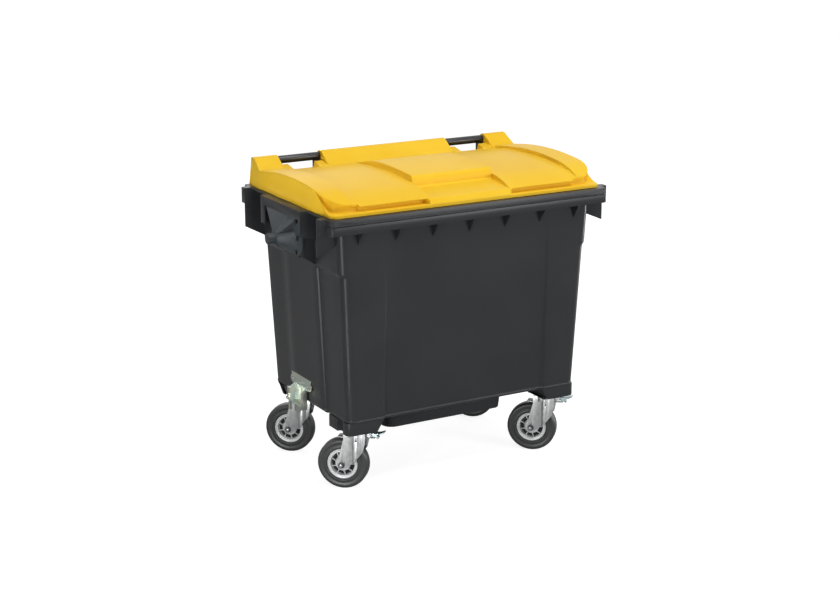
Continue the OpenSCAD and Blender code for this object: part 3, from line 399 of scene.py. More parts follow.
SLOT_FINISH = {
    "body_plastic": BODY_HDPE, "lid_plastic": LID_HDPE, "bar_tube": BAR_COAT, "pin_steel": BOLT_ZINC,
    "trunnion_steel": CAST_GREY, "bolt_steel": BOLT_ZINC, "plate_steel": PLATE_COAT,
    "bearing_steel": BEARING_STEEL, "fork_steel": FORK_ZINC, "nut_steel": DARK_OXIDE,
    "rim_metal": RIM_SILVER, "tyre_rubber": TYRE_RUBBER, "pedal_steel": PEDAL_ZINC,
    "lock_steel": LOCK_ZINC, "spring_steel": BOLT_ZINC, "plug_plastic": PLUG_PLASTIC,
    "gasket_rubber": SEAL_RUBBER,
}
PIECE_FINISH = {"left_trunnion_bolts": BLACK_BOLT, "right_trunnion_bolts": BLACK_BOLT}
# the webs take the near-black finish, which is painted shade for the pockets between the fins
PIECE_FINISH.update({f"{corner}_web_{number}": WEB_PAINTED_SHADE for corner in CORNERS for number in (0, 1)})
NODE_SLOT = {row["node"]: row["material_slot"] for row in frame["record"]["subparts"]}


def dress(obj, slot, body, *nodes):
    """Gives a finished piece its material, its body and the nodes that it stands for."""
    obj.data.materials.clear()
    obj.data.materials.append(PIECE_FINISH.get(nodes[0] if nodes else obj.name, SLOT_FINISH[slot]))
    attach(obj, body)
    if nodes:
        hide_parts(*nodes)


# ---------------------------------------------------------------- lid

GAP_IN, GAP_OUT = 287, 475          # the hand gaps, along X
STRIP_IN = 492                      # inner side of the raised end strips
NOTCH_X = 469                       # where the front lips step back under the strips
FULLNESS = 2.5                      # how square the swept corners of the lips are, 2 for an ellipse
MIDDLE = 175                        # half width of the raised middle panel
CREST_X = LID_X - 3                 # where the top meets the flanks
LIP_Y = LID_FRONT + 12              # edge of the front lips
SCOOP_Y = -200                      # where the corner scoops run out
SKIN = 4.5                          # wall of the lid
GAP_REAR = HINGE_Y - 32             # rear edge of the lid in the hand gaps
FLANGE_TOP = LID_Z + 13
NOSE_FRONT, NOSE_BACK = -216, -198  # roll at the front of the middle panel
NOSE_LOW = 1153                     # foot of the roll
TROUGH_LOW, TROUGH_RISE = 1132, 16  # the trough ahead of it: height at the lips and rise to the nose
PANEL_LIFT = 21.5                   # how far the middle panel stands over the crown
BARREL_R, BARREL_Y = 22, 26         # round top over the hinge: its height and its reach to the rear
KNUCKLE_R, KNUCKLE_BORE_R = 19.5, 16.1
POST_LEAN = 8                       # how far the outer posts lean in at their tops
SWEEP_X = 500                       # where the swept corners of the lips start


def dome(y, height, middle, flatness, droop):
    """An arch with its top at middle that falls faster, by droop, ahead of the nose."""
    ahead = max(0.0, NOSE_FRONT - y)
    return height - (y - middle) ** 2 / flatness - droop * ahead * ahead


def crown(y):
    """The domed top between the panel and the end strips."""
    return dome(y, 1179.5, -10, 3700, 0.00085)


def strip_crown(y):
    """The domed top of the raised end strips."""
    return dome(y, 1194.5, -20, 3187, 0.00155)


def middle_top(y):
    """The middle panel: a trough at the front, a rolled nose, then a slow fall into the crown."""
    if y < NOSE_FRONT:
        trough = TROUGH_LOW + (y - LIP_Y) * TROUGH_RISE / (NOSE_FRONT - LIP_Y)
        return trough + 5 * smooth(NOSE_FRONT - 8, NOSE_FRONT, y) ** 2
    panel = crown(y) + PANEL_LIFT * (1 - smooth(60, 300, y))
    if y < NOSE_BACK:
        t = (NOSE_BACK - y) / (NOSE_BACK - NOSE_FRONT)
        return NOSE_LOW + (panel - NOSE_LOW) * math.sqrt(max(0.0, 1 - t * t))
    return panel


def hinge_block_top(y):
    """The slope up to the hinge and the round top above it."""
    slope = 1159 + (y - 250) * 0.655
    fall = max(0.0, y - HINGE_Y + 5)
    top = HINGE_Z + math.sqrt(max(0.0, BARREL_R ** 2 - (fall * BARREL_R / BARREL_Y) ** 2))
    blend = 5.0
    h = min(1.0, max(0.0, 0.5 + (top - slope) / (2 * blend)))
    return mix(top, slope, h) - blend * h * (1 - h)


def lid_top(x, y):
    """Height of the lid's outer skin."""
    x = abs(x)
    top = mix(middle_top(y), crown(y), smooth(MIDDLE - 1.6, MIDDLE + 1.6, x))
    top = mix(top, strip_crown(y), smooth(STRIP_IN - 1.5, STRIP_IN + 1.5, x))
    if y > 215:
        inside = 1 - smooth(GAP_IN - 1.5, GAP_IN + 1.5, x)
        outside = smooth(GAP_OUT - 1.5, GAP_OUT + 1.5, x)
        slope = hinge_block_top(y)
        blend = 4.0
        h = min(1.0, max(0.0, 0.5 + (slope - top) / (2 * blend)))
        raised = mix(top, slope, h) + blend * h * (1 - h)
        wedge = max(smooth(GAP_IN + 42, GAP_IN + 36, x) if x > GAP_IN else 0,
                    smooth(GAP_OUT - 42, GAP_OUT - 36, x) if x < GAP_OUT else 0)
        shoulder = top + wedge * max(0.0, (y - 248) * 0.36)
        top = mix(shoulder, raised, inside + outside)
    return top


def lid_rear(x):
    """Rear edge of the lid: set back in the hand gaps and rounded at the corners."""
    x = abs(x)
    in_gap = smooth(GAP_IN - 1.2, GAP_IN + 1.2, x) * (1 - smooth(GAP_OUT - 1.2, GAP_OUT + 1.2, x))
    edge = mix(LID_REAR, GAP_REAR, in_gap)
    corner = 12
    if x > CREST_X - corner:
        edge -= corner - math.sqrt(max(0.0, corner ** 2 - (x - CREST_X + corner) ** 2))
    return edge


def lid_front(x):
    """Front edge of the top skin: the lips, set back under the strips and swept round the corners."""
    x = abs(x)
    edge = mix(LIP_Y, LIP_Y + 14, smooth(NOTCH_X - 3, NOTCH_X + 3, x))
    if x > SWEEP_X:
        t = min(1.0, (x - SWEEP_X) / (CREST_X - SWEEP_X))
        edge = SCOOP_Y - (SCOOP_Y - LIP_Y - 14) * (1 - t ** FULLNESS) ** (1 / FULLNESS)
    return edge


def lid_columns():
    """Places across the lid, close together at every step and round the corners."""
    half = spaced(0, MIDDLE - 8, 18)
    for step in (MIDDLE, GAP_IN, NOTCH_X, STRIP_IN):
        half += [step + d for d in (-6, -3, -1.6, -1.0, -0.5, 0, 0.5, 1.0, 1.6, 3)]
    half += [183, 187, 192, 200] + spaced(212, GAP_IN - 9, 15)
    half += spaced(GAP_IN + 8, GAP_IN + 33, 8) + [GAP_IN + d for d in (36, 38, 40, 42, 45)]
    half += spaced(GAP_IN + 52, GAP_OUT - 50, 14)
    half += [GAP_OUT - d for d in (45, 42, 40, 38, 36, 28, 18, 10)]
    half += [GAP_OUT + d for d in (-1.6, -0.5, 0, 0.5, 1.6, 3, 6)] + [498.5]
    half += [mix(SWEEP_X, CREST_X, math.sin(math.radians(a))) for a in range(4, 90, 4)] + [CREST_X]
    half = sorted(set(round(x, 3) for x in half))
    return [-x for x in reversed(half[1:])] + half


def lid_rows():
    """Places from the front to Y 300 along the longest column; a shorter one squeezes them."""
    rows = [LIP_Y + d for d in (0, 0.6, 1.6, 3.5, 7, 13)] + spaced(LIP_Y + 21, -232, 11)
    rows += [-228, -225, -222, -220, -218.4, -217, -216.2]
    rows += [mix(NOSE_BACK, NOSE_FRONT, math.cos(math.radians(a))) for a in range(0, 91, 9)]
    rows += [-195, -190, -182] + spaced(-172, 60, 13) + spaced(60, 228, 11)
    rows += spaced(228, 268, 4) + spaced(268, 300, 8)
    return rows


def lid_shell():
    """The lid as one closed moulding: top grid, skirt rings with the lips' groove, inner skin."""
    columns = lid_columns()
    rows = lid_rows()
    tail = [0, .12, .24, .33, .38, .42, .48, .55, .62, .69, .75, .81, .86, .9, .94, .97, .99, 1.0]
    nx, ny = len(columns), len(rows) + len(tail)

    def column_places(x):
        front, rear = lid_front(x), lid_rear(x)
        squeeze = (300 - front) / (300 - LIP_Y)
        return [300 - (300 - y) * squeeze for y in rows] + [mix(300, rear, t) for t in tail]

    def lean(x, y):
        """The outer posts lean in towards their tops."""
        part = smooth(250, 335, y) * smooth(SWEEP_X, CREST_X, abs(x))
        return x - math.copysign(POST_LEAN * part, x)

    outer = []
    for x in columns:
        outer.append([(lean(x, y), y, lid_top(x, y)) for y in column_places(x)])

    def inner_height(x, y):
        reach = SKIN + 0.5
        around = ((0, 0), (reach, 0), (-reach, 0), (0, reach), (0, -reach))
        return min(lid_top(x + dx, y + dy) for dx, dy in around) - SKIN

    inner = []
    shrink = (CREST_X - SKIN - 1) / CREST_X
    for x in columns:
        xi = x * shrink
        side = smooth(MIDDLE - 3, MIDDLE + 3, abs(x))
        front = max(lid_front(x - 5), lid_front(x + 5), lid_front(x)) + mix(9, 27, side)
        rear = min(lid_rear(x - 5), lid_rear(x + 5), lid_rear(x)) - SKIN
        places = column_places(x)
        y0, y1 = places[0], places[-1]
        inner.append([(lean(xi, y), y, inner_height(xi, y))
                      for y in (mix(front, rear, (p - y0) / (y1 - y0)) for p in places)])

    loop = [(i, 0) for i in range(nx)] + [(nx - 1, j) for j in range(1, ny)]
    loop += [(i, ny - 1) for i in range(nx - 2, -1, -1)] + [(0, j) for j in range(ny - 2, 0, -1)]
    rings = [[] for _ in range(15)]
    for i, j in loop:
        top = outer[i][j]
        within = inner[i][j]
        for ring, point in zip(rings, skirt_points(top, within, j == ny - 1)):
            ring.append(point)

    vertices = [p for column in outer for p in column]
    faces = [(i * ny + j, (i + 1) * ny + j, (i + 1) * ny + j + 1, i * ny + j + 1)
             for i in range(nx - 1) for j in range(ny - 1)]
    previous = [i * ny + j for i, j in loop]
    for ring in rings:
        base = len(vertices)
        vertices += ring
        current = list(range(base, base + len(ring)))
        faces += bridge(previous, current)
        previous = current
    base = len(vertices)
    vertices += [p for column in inner for p in column]
    faces += bridge(previous, [base + i * ny + j for i, j in loop])
    faces += [(base + i * ny + j, base + i * ny + j + 1,
               base + (i + 1) * ny + j + 1, base + (i + 1) * ny + j)
              for i in range(nx - 1) for j in range(ny - 1)]
    return new_object("lid_shell", vertices, faces)


def bridge(a, b):
    """Quads between two closed loops of vertex numbers."""
    n = len(a)
    return [(a[i], b[i], b[(i + 1) % n], a[(i + 1) % n]) for i in range(n)]


def flange_place(x, y, at_rear):
    """Where the skirt meets the flange's outer edge, and the height of the crease above it."""
    if at_rear:
        return (x, y), FLANGE_TOP
    sx = 1 if x > 0 else -1
    ax = abs(x)
    if y >= SCOOP_Y:
        return (sx * LID_X if y < LID_REAR - 12 else sx * (ax + 3), y), FLANGE_TOP
    if ax <= SWEEP_X:
        return (x, LID_FRONT), FLANGE_TOP
    # the corner: outwards from the sweep's centre to a rectangle with a round corner
    dx, dy = ax - SWEEP_X, y - SCOOP_Y
    round_r = 28
    t = 1.0
    while True:
        px, py = SWEEP_X + dx * t, SCOOP_Y + dy * t
        ox, oy = px - (LID_X - round_r), (LID_FRONT + round_r) - py
        outside = math.hypot(max(ox, 0), max(oy, 0)) + min(max(ox, oy), 0) - round_r
        if outside >= 0:
            break
        t += 0.002
    rise = smooth(LID_FRONT + 18, SCOOP_Y, py) ** 1.15
    return (sx * px, py), FLANGE_TOP + rise * (strip_crown(SCOOP_Y) - FLANGE_TOP - 3)


def skirt_points(top, within, at_rear):
    """Points from the top skin's edge round the lip, the groove and the flange to the inner skin."""
    x, y, z = top
    ax = abs(x)
    (fx, fy), crease = flange_place(x, y, at_rear)
    dx, dy = fx - x, fy - y
    reach = max(math.hypot(dx, dy), 1e-6)
    nx, ny = dx / reach, dy / reach
    lip = mix(5.0, 9.5, smooth(NOTCH_X - 3, NOTCH_X + 3, ax))
    grooved = 0.0
    if y < SCOOP_Y + 1 and not at_rear:
        grooved = smooth(MIDDLE + 3, MIDDLE + 11, ax)
        if ax > SWEEP_X:
            grooved *= 1 - smooth(-262, SCOOP_Y, y)
    depth = mix(21, 12, smooth(NOTCH_X - 3, NOTCH_X + 3, ax))
    flat = min(reach - 0.5, 4.0)
    profile = [
        (0.9, z - 0.5), (1.4, z - 1.6), (1.4, z - lip + 1.2), (0.4, z - lip),
        (-depth + 3, z - lip - 1.5), (-depth, z - lip - 4), (-depth, mix(crease, z, 0.25) + 2),
        (-depth + 4, crease + 1.0), (reach - flat, crease + 0.2)]
    on_flank = abs(fx) > LID_X - 1
    lens = 14 * smooth(SCOOP_Y, -90, y) * (1 - smooth(120, 250, y)) if on_flank else 0
    points = []
    steps = len(profile)
    for k, (out, height) in enumerate(profile):
        t = (k + 1) / steps
        plain = (x + dx * t, y + dy * t, z + (crease - z) * t)
        sag = lens * math.sin(math.pi * t)
        plain = (plain[0] - math.copysign(sag, x), plain[1], plain[2])
        shaped = (x + nx * out, y + ny * out, max(height, crease + 0.2))
        points.append(mix(plain, shaped, grooved))
    half = (crease + FLANGE_TOP) / 2 - 2
    points += [(fx, fy, half), (fx, fy, LID_Z + 8.8), (fx, fy, LID_Z + 0.8)]
    ix, iy = within[0], within[1]
    gx, gy = ix - fx, iy - fy
    span = max(math.hypot(gx, gy), 1e-6)
    foot = min(SKIN, span * 0.9)
    under = (fx + gx / span * foot, fy + gy / span * foot)
    points += [(*under, LID_Z), (*under, LID_Z + 7)]
    return points + [(ix, iy, min(LID_Z + 8.2, within[2] - 0.5))]


def hinge_knuckles():
    """Rings inside the hinge blocks that ride on the bars, each hung from the roof by a web."""
    shapes = []
    for low, high in ((GAP_IN - 22, GAP_IN - 3), (GAP_OUT + 3, GAP_OUT + 25)):
        for side in (-1, 1):
            outline = arc(HINGE_Y, HINGE_Z, KNUCKLE_R, 0, 360, 40)[:-1]
            hole = arc(HINGE_Y, HINGE_Z, KNUCKLE_BORE_R, 0, 360, 40)[:-1]
            rings = [[(side * a, *p) for p in pts] for a, pts in
                     ((low, hole), (low, outline), (high, outline), (high, hole))]
            shapes.append(loft(rings, joined_ends=True))
            web = block((low + 8, HINGE_Y - 2, HINGE_Z - 60), (low + 12, HINGE_Y + 2, HINGE_Z - 18))
            shapes.append(mirrored(web, (side, 1, 1)))
    return assembled("lid_knuckles", shapes)


def build_lid():
    """The moulding and the knuckles under its hinge blocks."""
    shell = lid_shell()
    outward(shell)
    shade(shell, 60)
    dress(shell, "lid_plastic", "lid", "lid")
    knuckles = hinge_knuckles()
    outward(knuckles)
    shade(knuckles)
    dress(knuckles, "lid_plastic", "lid")


# ---------------------------------------------------------------- tub

WALL = 5                            # wall and floor of the tub
CORNER_R = 35                       # radius of the tub's upright corners
COLUMN_INSET = 8.5                  # how far the corner columns stand back below the ledge
PANEL_Y = 140                       # half length of the side panel between the columns
PANEL_X = 356                       # half width of the front panel
RECESS = 13                         # depth of the front panel at the floor edge, nothing at the rim
SUMP_X, SUMP_Y, SUMP_R = 268, 176, 40


def wall_place(z, top, lean):
    """Distance of a wall from the middle at a height."""
    return top - lean * (RIM_LOW - z) / (RIM_LOW - FLOOR_Z)


def tub_outline(z, inset):
    """The tub's outline at a height, from the middle of the front round to the middle of the front."""
    w = wall_place(z, TUB_X, LEAN_X) - inset
    d = wall_place(z, TUB_Y, LEAN_Y) - inset
    column = COLUMN_INSET * (1 - smooth(LEDGE_Z - 9, LEDGE_Z + 9, z))
    dent = RECESS * max(0.0, RIM_LOW - z) / (RIM_LOW - FLOOR_Z)
    r = max(6.0, CORNER_R - inset)
    steps = [i / 8 for i in range(9)]
    quarter = [(x, dent - d) for x in (0, 90, 180, 270, 335)]
    quarter += [(PANEL_X - 7 + 14 * t, dent * (1 - smooth(0, 1, t)) - d) for t in steps]
    quarter += [(x, -d) for x in (390, 430, 465)]
    edge = w - column
    quarter += arc(edge - r, r - d, r, -90, 0, 12)
    quarter += [(edge, mix(r - d, -PANEL_Y - 8, t)) for t in (0.35, 0.7)]
    quarter += [(edge + column * smooth(0, 1, t), -PANEL_Y - 5 + 10 * t) for t in steps]
    quarter += [(w, -95), (w, -48), (w, 0)]
    half = quarter + [(x, -y) for x, y in reversed(quarter[:-1])]
    return half[:-1] + [(-x, y) for x, y in reversed(half)][:-1]


def on_round_rectangle(x, y, w, d, r):
    """Where the line from the middle through a point meets a rectangle with round corners."""
    low, high = 0.0, 2.0
    for _ in range(40):
        t = (low + high) / 2
        ox, oy = abs(x) * t - (w - r), abs(y) * t - (d - r)
        outside = math.hypot(max(ox, 0), max(oy, 0)) + min(max(ox, oy), 0) - r
        low, high = (low, t) if outside > 0 else (t, high)
    return x * low, y * low


def build_tub():
    """The walls and the floor as one closed shell with its floor bead, corner columns and panels."""
    foot = [(24, 0), (17, 0.4), (11, 1.8), (6.2, 4.2), (3.2, 7), (1.4, 9.2), (-0.6, 10.4),
            (-1.9, 12), (-2.1, 13.6), (-1.6, 15.4), (-0.2, 16.8), (0.4, 18.2), (0.2, 21)]
    levels = [FLOOR_Z + 34] + spaced(FLOOR_Z + 70, LEDGE_Z - 24, 60) + [LEDGE_Z + d for d in
              (-24, -14, -9, -7, -5, -3, -1, 1, 3, 5, 7, 9, 14, 24)] + spaced(LEDGE_Z + 60, RIM_LOW, 40)
    levels += [RIM_LOW, RIM_TOP - 7]
    hole = [on_round_rectangle(x, y, SUMP_X, SUMP_Y, SUMP_R) for x, y in tub_outline(FLOOR_Z, 20)]
    rings = [[(x, y, FLOOR_Z) for x, y in hole]]
    rings += [[(x, y, FLOOR_Z + up) for x, y in tub_outline(FLOOR_Z + up, inset)]
              for inset, up in foot]
    rings += [[(x, y, z) for x, y in tub_outline(z, 0)] for z in levels]
    rings += [[(x, y, z) for x, y in tub_outline(z, WALL)] for z in reversed(levels)]
    bend = ((WALL, 24), (WALL + 2, 15), (WALL + 6, 9), (WALL + 13, 5.6), (WALL + 20, WALL))
    rings += [[(x, y, FLOOR_Z + up) for x, y in tub_outline(FLOOR_Z + up, inset)]
              for inset, up in bend]
    rings += [[(x, y, FLOOR_Z + WALL) for x, y in hole]]
    obj = new_object("tub_shell", *loft(rings, joined_ends=True))
    outward(obj)
    shade(obj, 40)
    dress(obj, "body_plastic", "container", "tub")


# ---------------------------------------------------------------- rim

BEAD_X, BEAD_R = 592, 2.6           # the bead's half length and radius
BEAD_UP = 34                        # its height over the foot of the rim


def build_rim_beads():
    """A half round bead along the front and the rear of the rim, below its upper band."""
    shapes = []
    for side in (-1, 1):
        rings = []
        for x, r in ((-BEAD_X, 0.3), (-BEAD_X + 3, BEAD_R), (BEAD_X - 3, BEAD_R), (BEAD_X, 0.3)):
            circle = arc(0, 0, r, 0, 360, 20)[:-1]
            rings.append([(x, side * (RIM_Y - 4.6 + p), RIM_LOW + BEAD_UP + q) for p, q in circle])
        vertices, faces = loft(rings)
        n = len(rings[0])
        last = 3 * n
        shapes.append((vertices, faces + [tuple(range(n)), tuple(range(last + n - 1, last - 1, -1))]))
    beads = assembled("rim_beads", shapes)
    outward(beads)
    shade(beads, 40)
    dress(beads, "body_plastic", "container")


# ---------------------------------------------------------------- feet

FOOT_X = wall_place(FLOOR_Z, TUB_X, LEAN_X) - 3.5
FOOT_Y = wall_place(FLOOR_Z, TUB_Y, LEAN_Y) - 2.5
FOOT_INNER_X, FOOT_INNER_Y = CASTOR_X - 44, CASTOR_Y - 70
POCKET = (234, 279, 14)             # the pocket in the outer side: from, to and its depth


def foot_outline(z, rear):
    """A foot's outline at a height in the quarter where x and y grow outwards."""
    up = min(1.0, (z - CASTOR_H) / (FLOOR_Z - CASTOR_H))
    inner_x = FOOT_INNER_X - 30 * up
    back = (1 - up) * (26 if rear else 0)
    r = 40 if rear else 27
    outer_y = FOOT_Y - back
    outer_x = FOOT_X - back * 0.6
    low, high, deep = POCKET
    points = [(inner_x, outer_y)] + arc(outer_x - r, outer_y - r, r, 0, 90, 10)[::-1]
    points += [(outer_x, high), (outer_x - deep, high - 3), (outer_x - deep, low + 3), (outer_x, low)]
    return points + [(outer_x, FOOT_INNER_Y), (inner_x, FOOT_INNER_Y)]


def build_feet():
    """Feet below the corners of the floor, in line with the walls, that carry the castor plates."""
    shapes = []
    for sx, sy in CORNERS.values():
        rings = [[(sx * x, sy * y, z) for x, y in foot_outline(z, sy > 0)]
                 for z in (CASTOR_H, FLOOR_Z + 9)]
        vertices, faces = loft(rings)
        n = len(rings[0])
        shapes.append((vertices, faces + [tuple(range(n)), tuple(range(2 * n - 1, n - 1, -1))]))
    feet = assembled("moulded_feet", shapes)
    outward(feet)
    soften(feet, 1.8, 3)
    shade(feet, 34)
    dress(feet, "body_plastic", "container", "feet")


# ---------------------------------------------------------------- trunnions

BOSS_BACK, FACE_BACK = 31, 84       # from the pin's end back to the boss and to the plate's face
CONE_SINK = 4                       # how deep the cone's foot goes into the plate
CONE_Y, CONE_Z, CONE_R = 100, 44, 34    # half length, half height and corners of its foot
BOSS_R = 24
CONE_STEPS, CONE_SIDES = 12, 48


def build_trunnion_cone(side, name):
    """The cast cone between the pin's boss and the lower part of the plate."""
    pin_end = max(abs(corner[0]) for corner in box_mm(name + "_trunnion"))
    boss_x, foot_x = pin_end - BOSS_BACK, pin_end - FACE_BACK - CONE_SINK
    y, z = TRUNNION_Y, TRUNNION_Z
    rings = [[(side * foot_x, y, z)] * CONE_SIDES]
    for t in [i / CONE_STEPS for i in range(CONE_STEPS + 1)]:
        ring = []
        for k in range(CONE_SIDES):
            a = 2 * math.pi * k / CONE_SIDES
            wide = on_round_rectangle(2 * math.cos(a) * CONE_Y, 2 * math.sin(a) * CONE_Z,
                                      CONE_Y, CONE_Z, CONE_R)
            narrow = (BOSS_R * math.cos(a), BOSS_R * math.sin(a))
            p = mix((wide[0], wide[1] - 3), narrow, t ** 0.62)
            ring.append((side * mix(foot_x, boss_x, t), y + p[0], z + p[1]))
        rings.append(ring)
    rings.append([(side * boss_x, y, z)] * CONE_SIDES)
    cone = new_object(name + "_trunnion_cone", *loft(rings))
    outward(cone)
    shade(cone, 40)
    dress(cone, "trunnion_steel", "container")


# ---------------------------------------------------------------- wheels

TRAIL = 52                          # from the kingpin back to the axle
TURN = math.radians(-43)            # how far each castor is turned at rest
FINS = 9


def repeat_tree(name):
    """Geometry nodes that set copies of a piece in a row or round a circle."""
    tree = bpy.data.node_groups.new(name, "GeometryNodeTree")
    sockets = {}
    for label, kind in (("Piece", "NodeSocketGeometry"), ("Count", "NodeSocketInt"),
                        ("First place", "NodeSocketVector"), ("Step", "NodeSocketVector"),
                        ("Turn per copy", "NodeSocketVector"), ("Finish", "NodeSocketMaterial")):
        made = tree.interface.new_socket(name=label, in_out="INPUT", socket_type=kind)
        sockets[label] = made.identifier
    tree.interface.new_socket(name="Copies", in_out="OUTPUT", socket_type="NodeSocketGeometry")
    given = add(tree, "NodeGroupInput")
    line = add(tree, "GeometryNodeMeshLine", {
        "Count": given.outputs["Count"], "Start Location": given.outputs["First place"],
        "Offset": given.outputs["Step"]})
    index = add(tree, "GeometryNodeInputIndex")
    turn = add(tree, "ShaderNodeVectorMath", {
        0: given.outputs["Turn per copy"], "Scale": index.outputs["Index"]}, operation="SCALE")
    copies = add(tree, "GeometryNodeInstanceOnPoints", {
        "Points": line.outputs["Mesh"], "Instance": given.outputs["Piece"],
        "Rotation": turn.outputs["Vector"]})
    real = add(tree, "GeometryNodeRealizeInstances", {"Geometry": copies.outputs["Instances"]})
    dressed = add(tree, "GeometryNodeSetMaterial", {
        "Geometry": real.outputs["Geometry"], "Material": given.outputs["Finish"]})
    add(tree, "NodeGroupOutput", {"Copies": dressed.outputs["Geometry"]})
    return tree, sockets


REPEAT, REPEAT_SOCKETS = repeat_tree("repeat a piece")


def repeated(obj, count, first, step, turn, slot):
    """Replaces the object's mesh with count copies of it."""
    modifier = obj.modifiers.new("repeat", "NODES")
    modifier.node_group = REPEAT
    for label, value in (("Count", count), ("First place", [c * MM for c in first]),
                         ("Step", [c * MM for c in step]), ("Turn per copy", turn),
                         ("Finish", SLOT_FINISH[slot])):
        modifier[REPEAT_SOCKETS[label]] = value
    bake_modifiers(obj)


def turned_profile(profile, steps):
    """A closed outline of (radius, width) turned about the Y axis."""
    rings = []
    for i in range(steps):
        a = 2 * math.pi * i / steps
        rings.append([(r * math.cos(a), w, r * math.sin(a)) for r, w in profile])
    return loft(rings, joined_ends=True)


def both_ways(half):
    """A closed outline from the half at negative width, mirrored to positive width."""
    return half + [(r, -w) for r, w in reversed(half)]


def to_wheel(obj, corner):
    """Moves a piece that is drawn about the axle to a castor's wheel."""
    sx, sy = CORNERS[corner]
    reach = Vector((-TRAIL * math.cos(TURN), -TRAIL * math.sin(TURN), 0))
    place = Vector((sx * CASTOR_X, sy * CASTOR_Y, WHEEL_R)) + reach
    obj.data.transform(Matrix.Translation(place * MM) @ Matrix.Rotation(TURN, 4, "Z"))


def build_wheel(corner):
    """A castor's spoked rim with its webs and fins, and its solid tyre."""
    body = corner + "_wheel"
    rim_half = [(60, -21), (59.4, -22.2), (58.2, -22.8), (56.5, -22.2), (55.2, -21.2), (52.5, -20.8),
                (50.6, -21.2), (49.4, -22), (48.2, -21.6), (47.6, -20), (47.2, -15), (46.8, -9),
                (45.4, -6.6), (42, -6.2), (37, -8), (32, -11.6), (28.6, -16.5), (26.4, -21.5),
                (25, -23.4), (23.5, -24), (12.4, -24), (12.4, -10)]
    rim = new_object(corner + "_rim_turned", *turned_profile(both_ways(rim_half), 96))
    outward(rim)
    shade(rim, 32)
    to_wheel(rim, corner)
    dress(rim, "rim_metal", body, corner + "_wheel_rim")
    # the webs are dressed near-black: painted shade in the pockets between the bright fins
    web_half = [(30.6, -4), (30.6, -14), (33.6, -11.6), (38, -8.6), (42, -7.1), (46.9, -7), (46.9, -4)]
    for number, side in enumerate((-1, 1)):
        profile = [(r, -side * w) for r, w in web_half]
        web = new_object(f"{corner}_web_{number}", *turned_profile(profile, 96))
        outward(web)
        shade(web, 32)
        to_wheel(web, corner)
        dress(web, "rim_metal", body)
    for number, side in enumerate((-1, 1)):
        outline = [(26, side * 10), (26, side * 22.6), (30, side * 20.4), (38, side * 15.6),
                   (44.5, side * 13.4), (48, side * 14.2), (48, side * 4)]
        fin = new_object(f"{corner}_fins_{number}", *prism(outline, "z", -1.6, 1.6))
        outward(fin)
        soften(fin, 0.5)
        repeated(fin, FINS, (0, 0, 0), (0, 0, 0), (0, 2 * math.pi / FINS, 0), "rim_metal")
        shade(fin, 32)
        to_wheel(fin, corner)
        dress(fin, "rim_metal", body)
    tyre_half = [(59.6, -19), (60.4, -20.4), (61.6, -21), (62.8, -22), (63.6, -23.6), (64.6, -24.7),
                 (66, -25), (69.5, -24.9), (71, -24.3), (72, -23.4), (73.4, -23), (78, -23.1),
                 (81, -23.8), (84, -24.6)]
    tyre_half += [(88 + 12 * math.cos(math.radians(a)), -13 - 12 * math.sin(math.radians(a)))
                  for a in range(84, -1, -7)]
    tyre_half += [(100, -7)]
    tyre = new_object(corner + "_tyre_turned", *turned_profile(both_ways(tyre_half), 128))
    outward(tyre)
    shade(tyre, 50)
    to_wheel(tyre, corner)
    dress(tyre, "tyre_rubber", body, corner + "_tyre")


# ---------------------------------------------------------------- fittings from the frame

EDGE = 0.6                          # the usual edge radius of the fittings
WIDER_EDGES = {"rim": 1.1, "sump": 5.0, "bar_posts": 1.2}


def refined(node, slot, body, edge=EDGE):
    """A merged copy of a frame node with small rounded edges, in place of its loose triangles."""
    source = frame["nodes"][node]
    obj = bpy.data.objects.new(node + "_finished", source.data.copy())
    bpy.context.scene.collection.objects.link(obj)
    bm = bmesh.new()
    bm.from_mesh(obj.data)
    bmesh.ops.remove_doubles(bm, verts=bm.verts, dist=2e-6)
    bmesh.ops.dissolve_limit(bm, angle_limit=math.radians(0.6), verts=bm.verts, edges=bm.edges)
    bm.to_mesh(obj.data)
    bm.free()
    if edge:
        soften(obj, edge, angle=28)
    shade(obj, 34)
    dress(obj, slot, body, node)
    return obj


def build_spring():
    """The lock's spring (on the real lock the plunger presses it together on its shelf), as a copy of the frame
    node with a mesh of its own and no rounded edges.
    """
    spring = refined("lock_spring", "spring_steel", "container", 0)
    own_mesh(spring)


def body_of_node(node):
    """The body that a frame node rides on."""
    return next(body for body, nodes in frame["record"]["behaviour"]["bodies"].items() if node in nodes)


# ---------------------------------------------------------------- light, floor and camera

def studio():
    """A white room: soft daylight on the object, plain white seen by camera, gloss and glass."""
    world = bpy.data.worlds.new("white studio")
    bpy.context.scene.world = world
    world.use_nodes = True
    tree = world.node_tree
    tree.nodes.clear()
    path = add(tree, "ShaderNodeLightPath")
    seen = add(tree, "ShaderNodeMath", {
        0: path.outputs["Is Camera Ray"], 1: path.outputs["Is Glossy Ray"]}, operation="MAXIMUM")
    seen = add(tree, "ShaderNodeMath", {
        0: seen.outputs[0], 1: path.outputs["Is Transmission Ray"]}, operation="MAXIMUM")
    white = add(tree, "ShaderNodeBackground", {"Color": (1, 1, 1, 1), "Strength": 1.0})
    soft = add(tree, "ShaderNodeBackground", {"Color": (1, 1, 1, 1), "Strength": 0.34})
    chosen = add(tree, "ShaderNodeMixShader", {
        0: seen.outputs[0], 1: soft.outputs[0], 2: white.outputs[0]})
    add(tree, "ShaderNodeOutputWorld", {"Surface": chosen.outputs[0]})


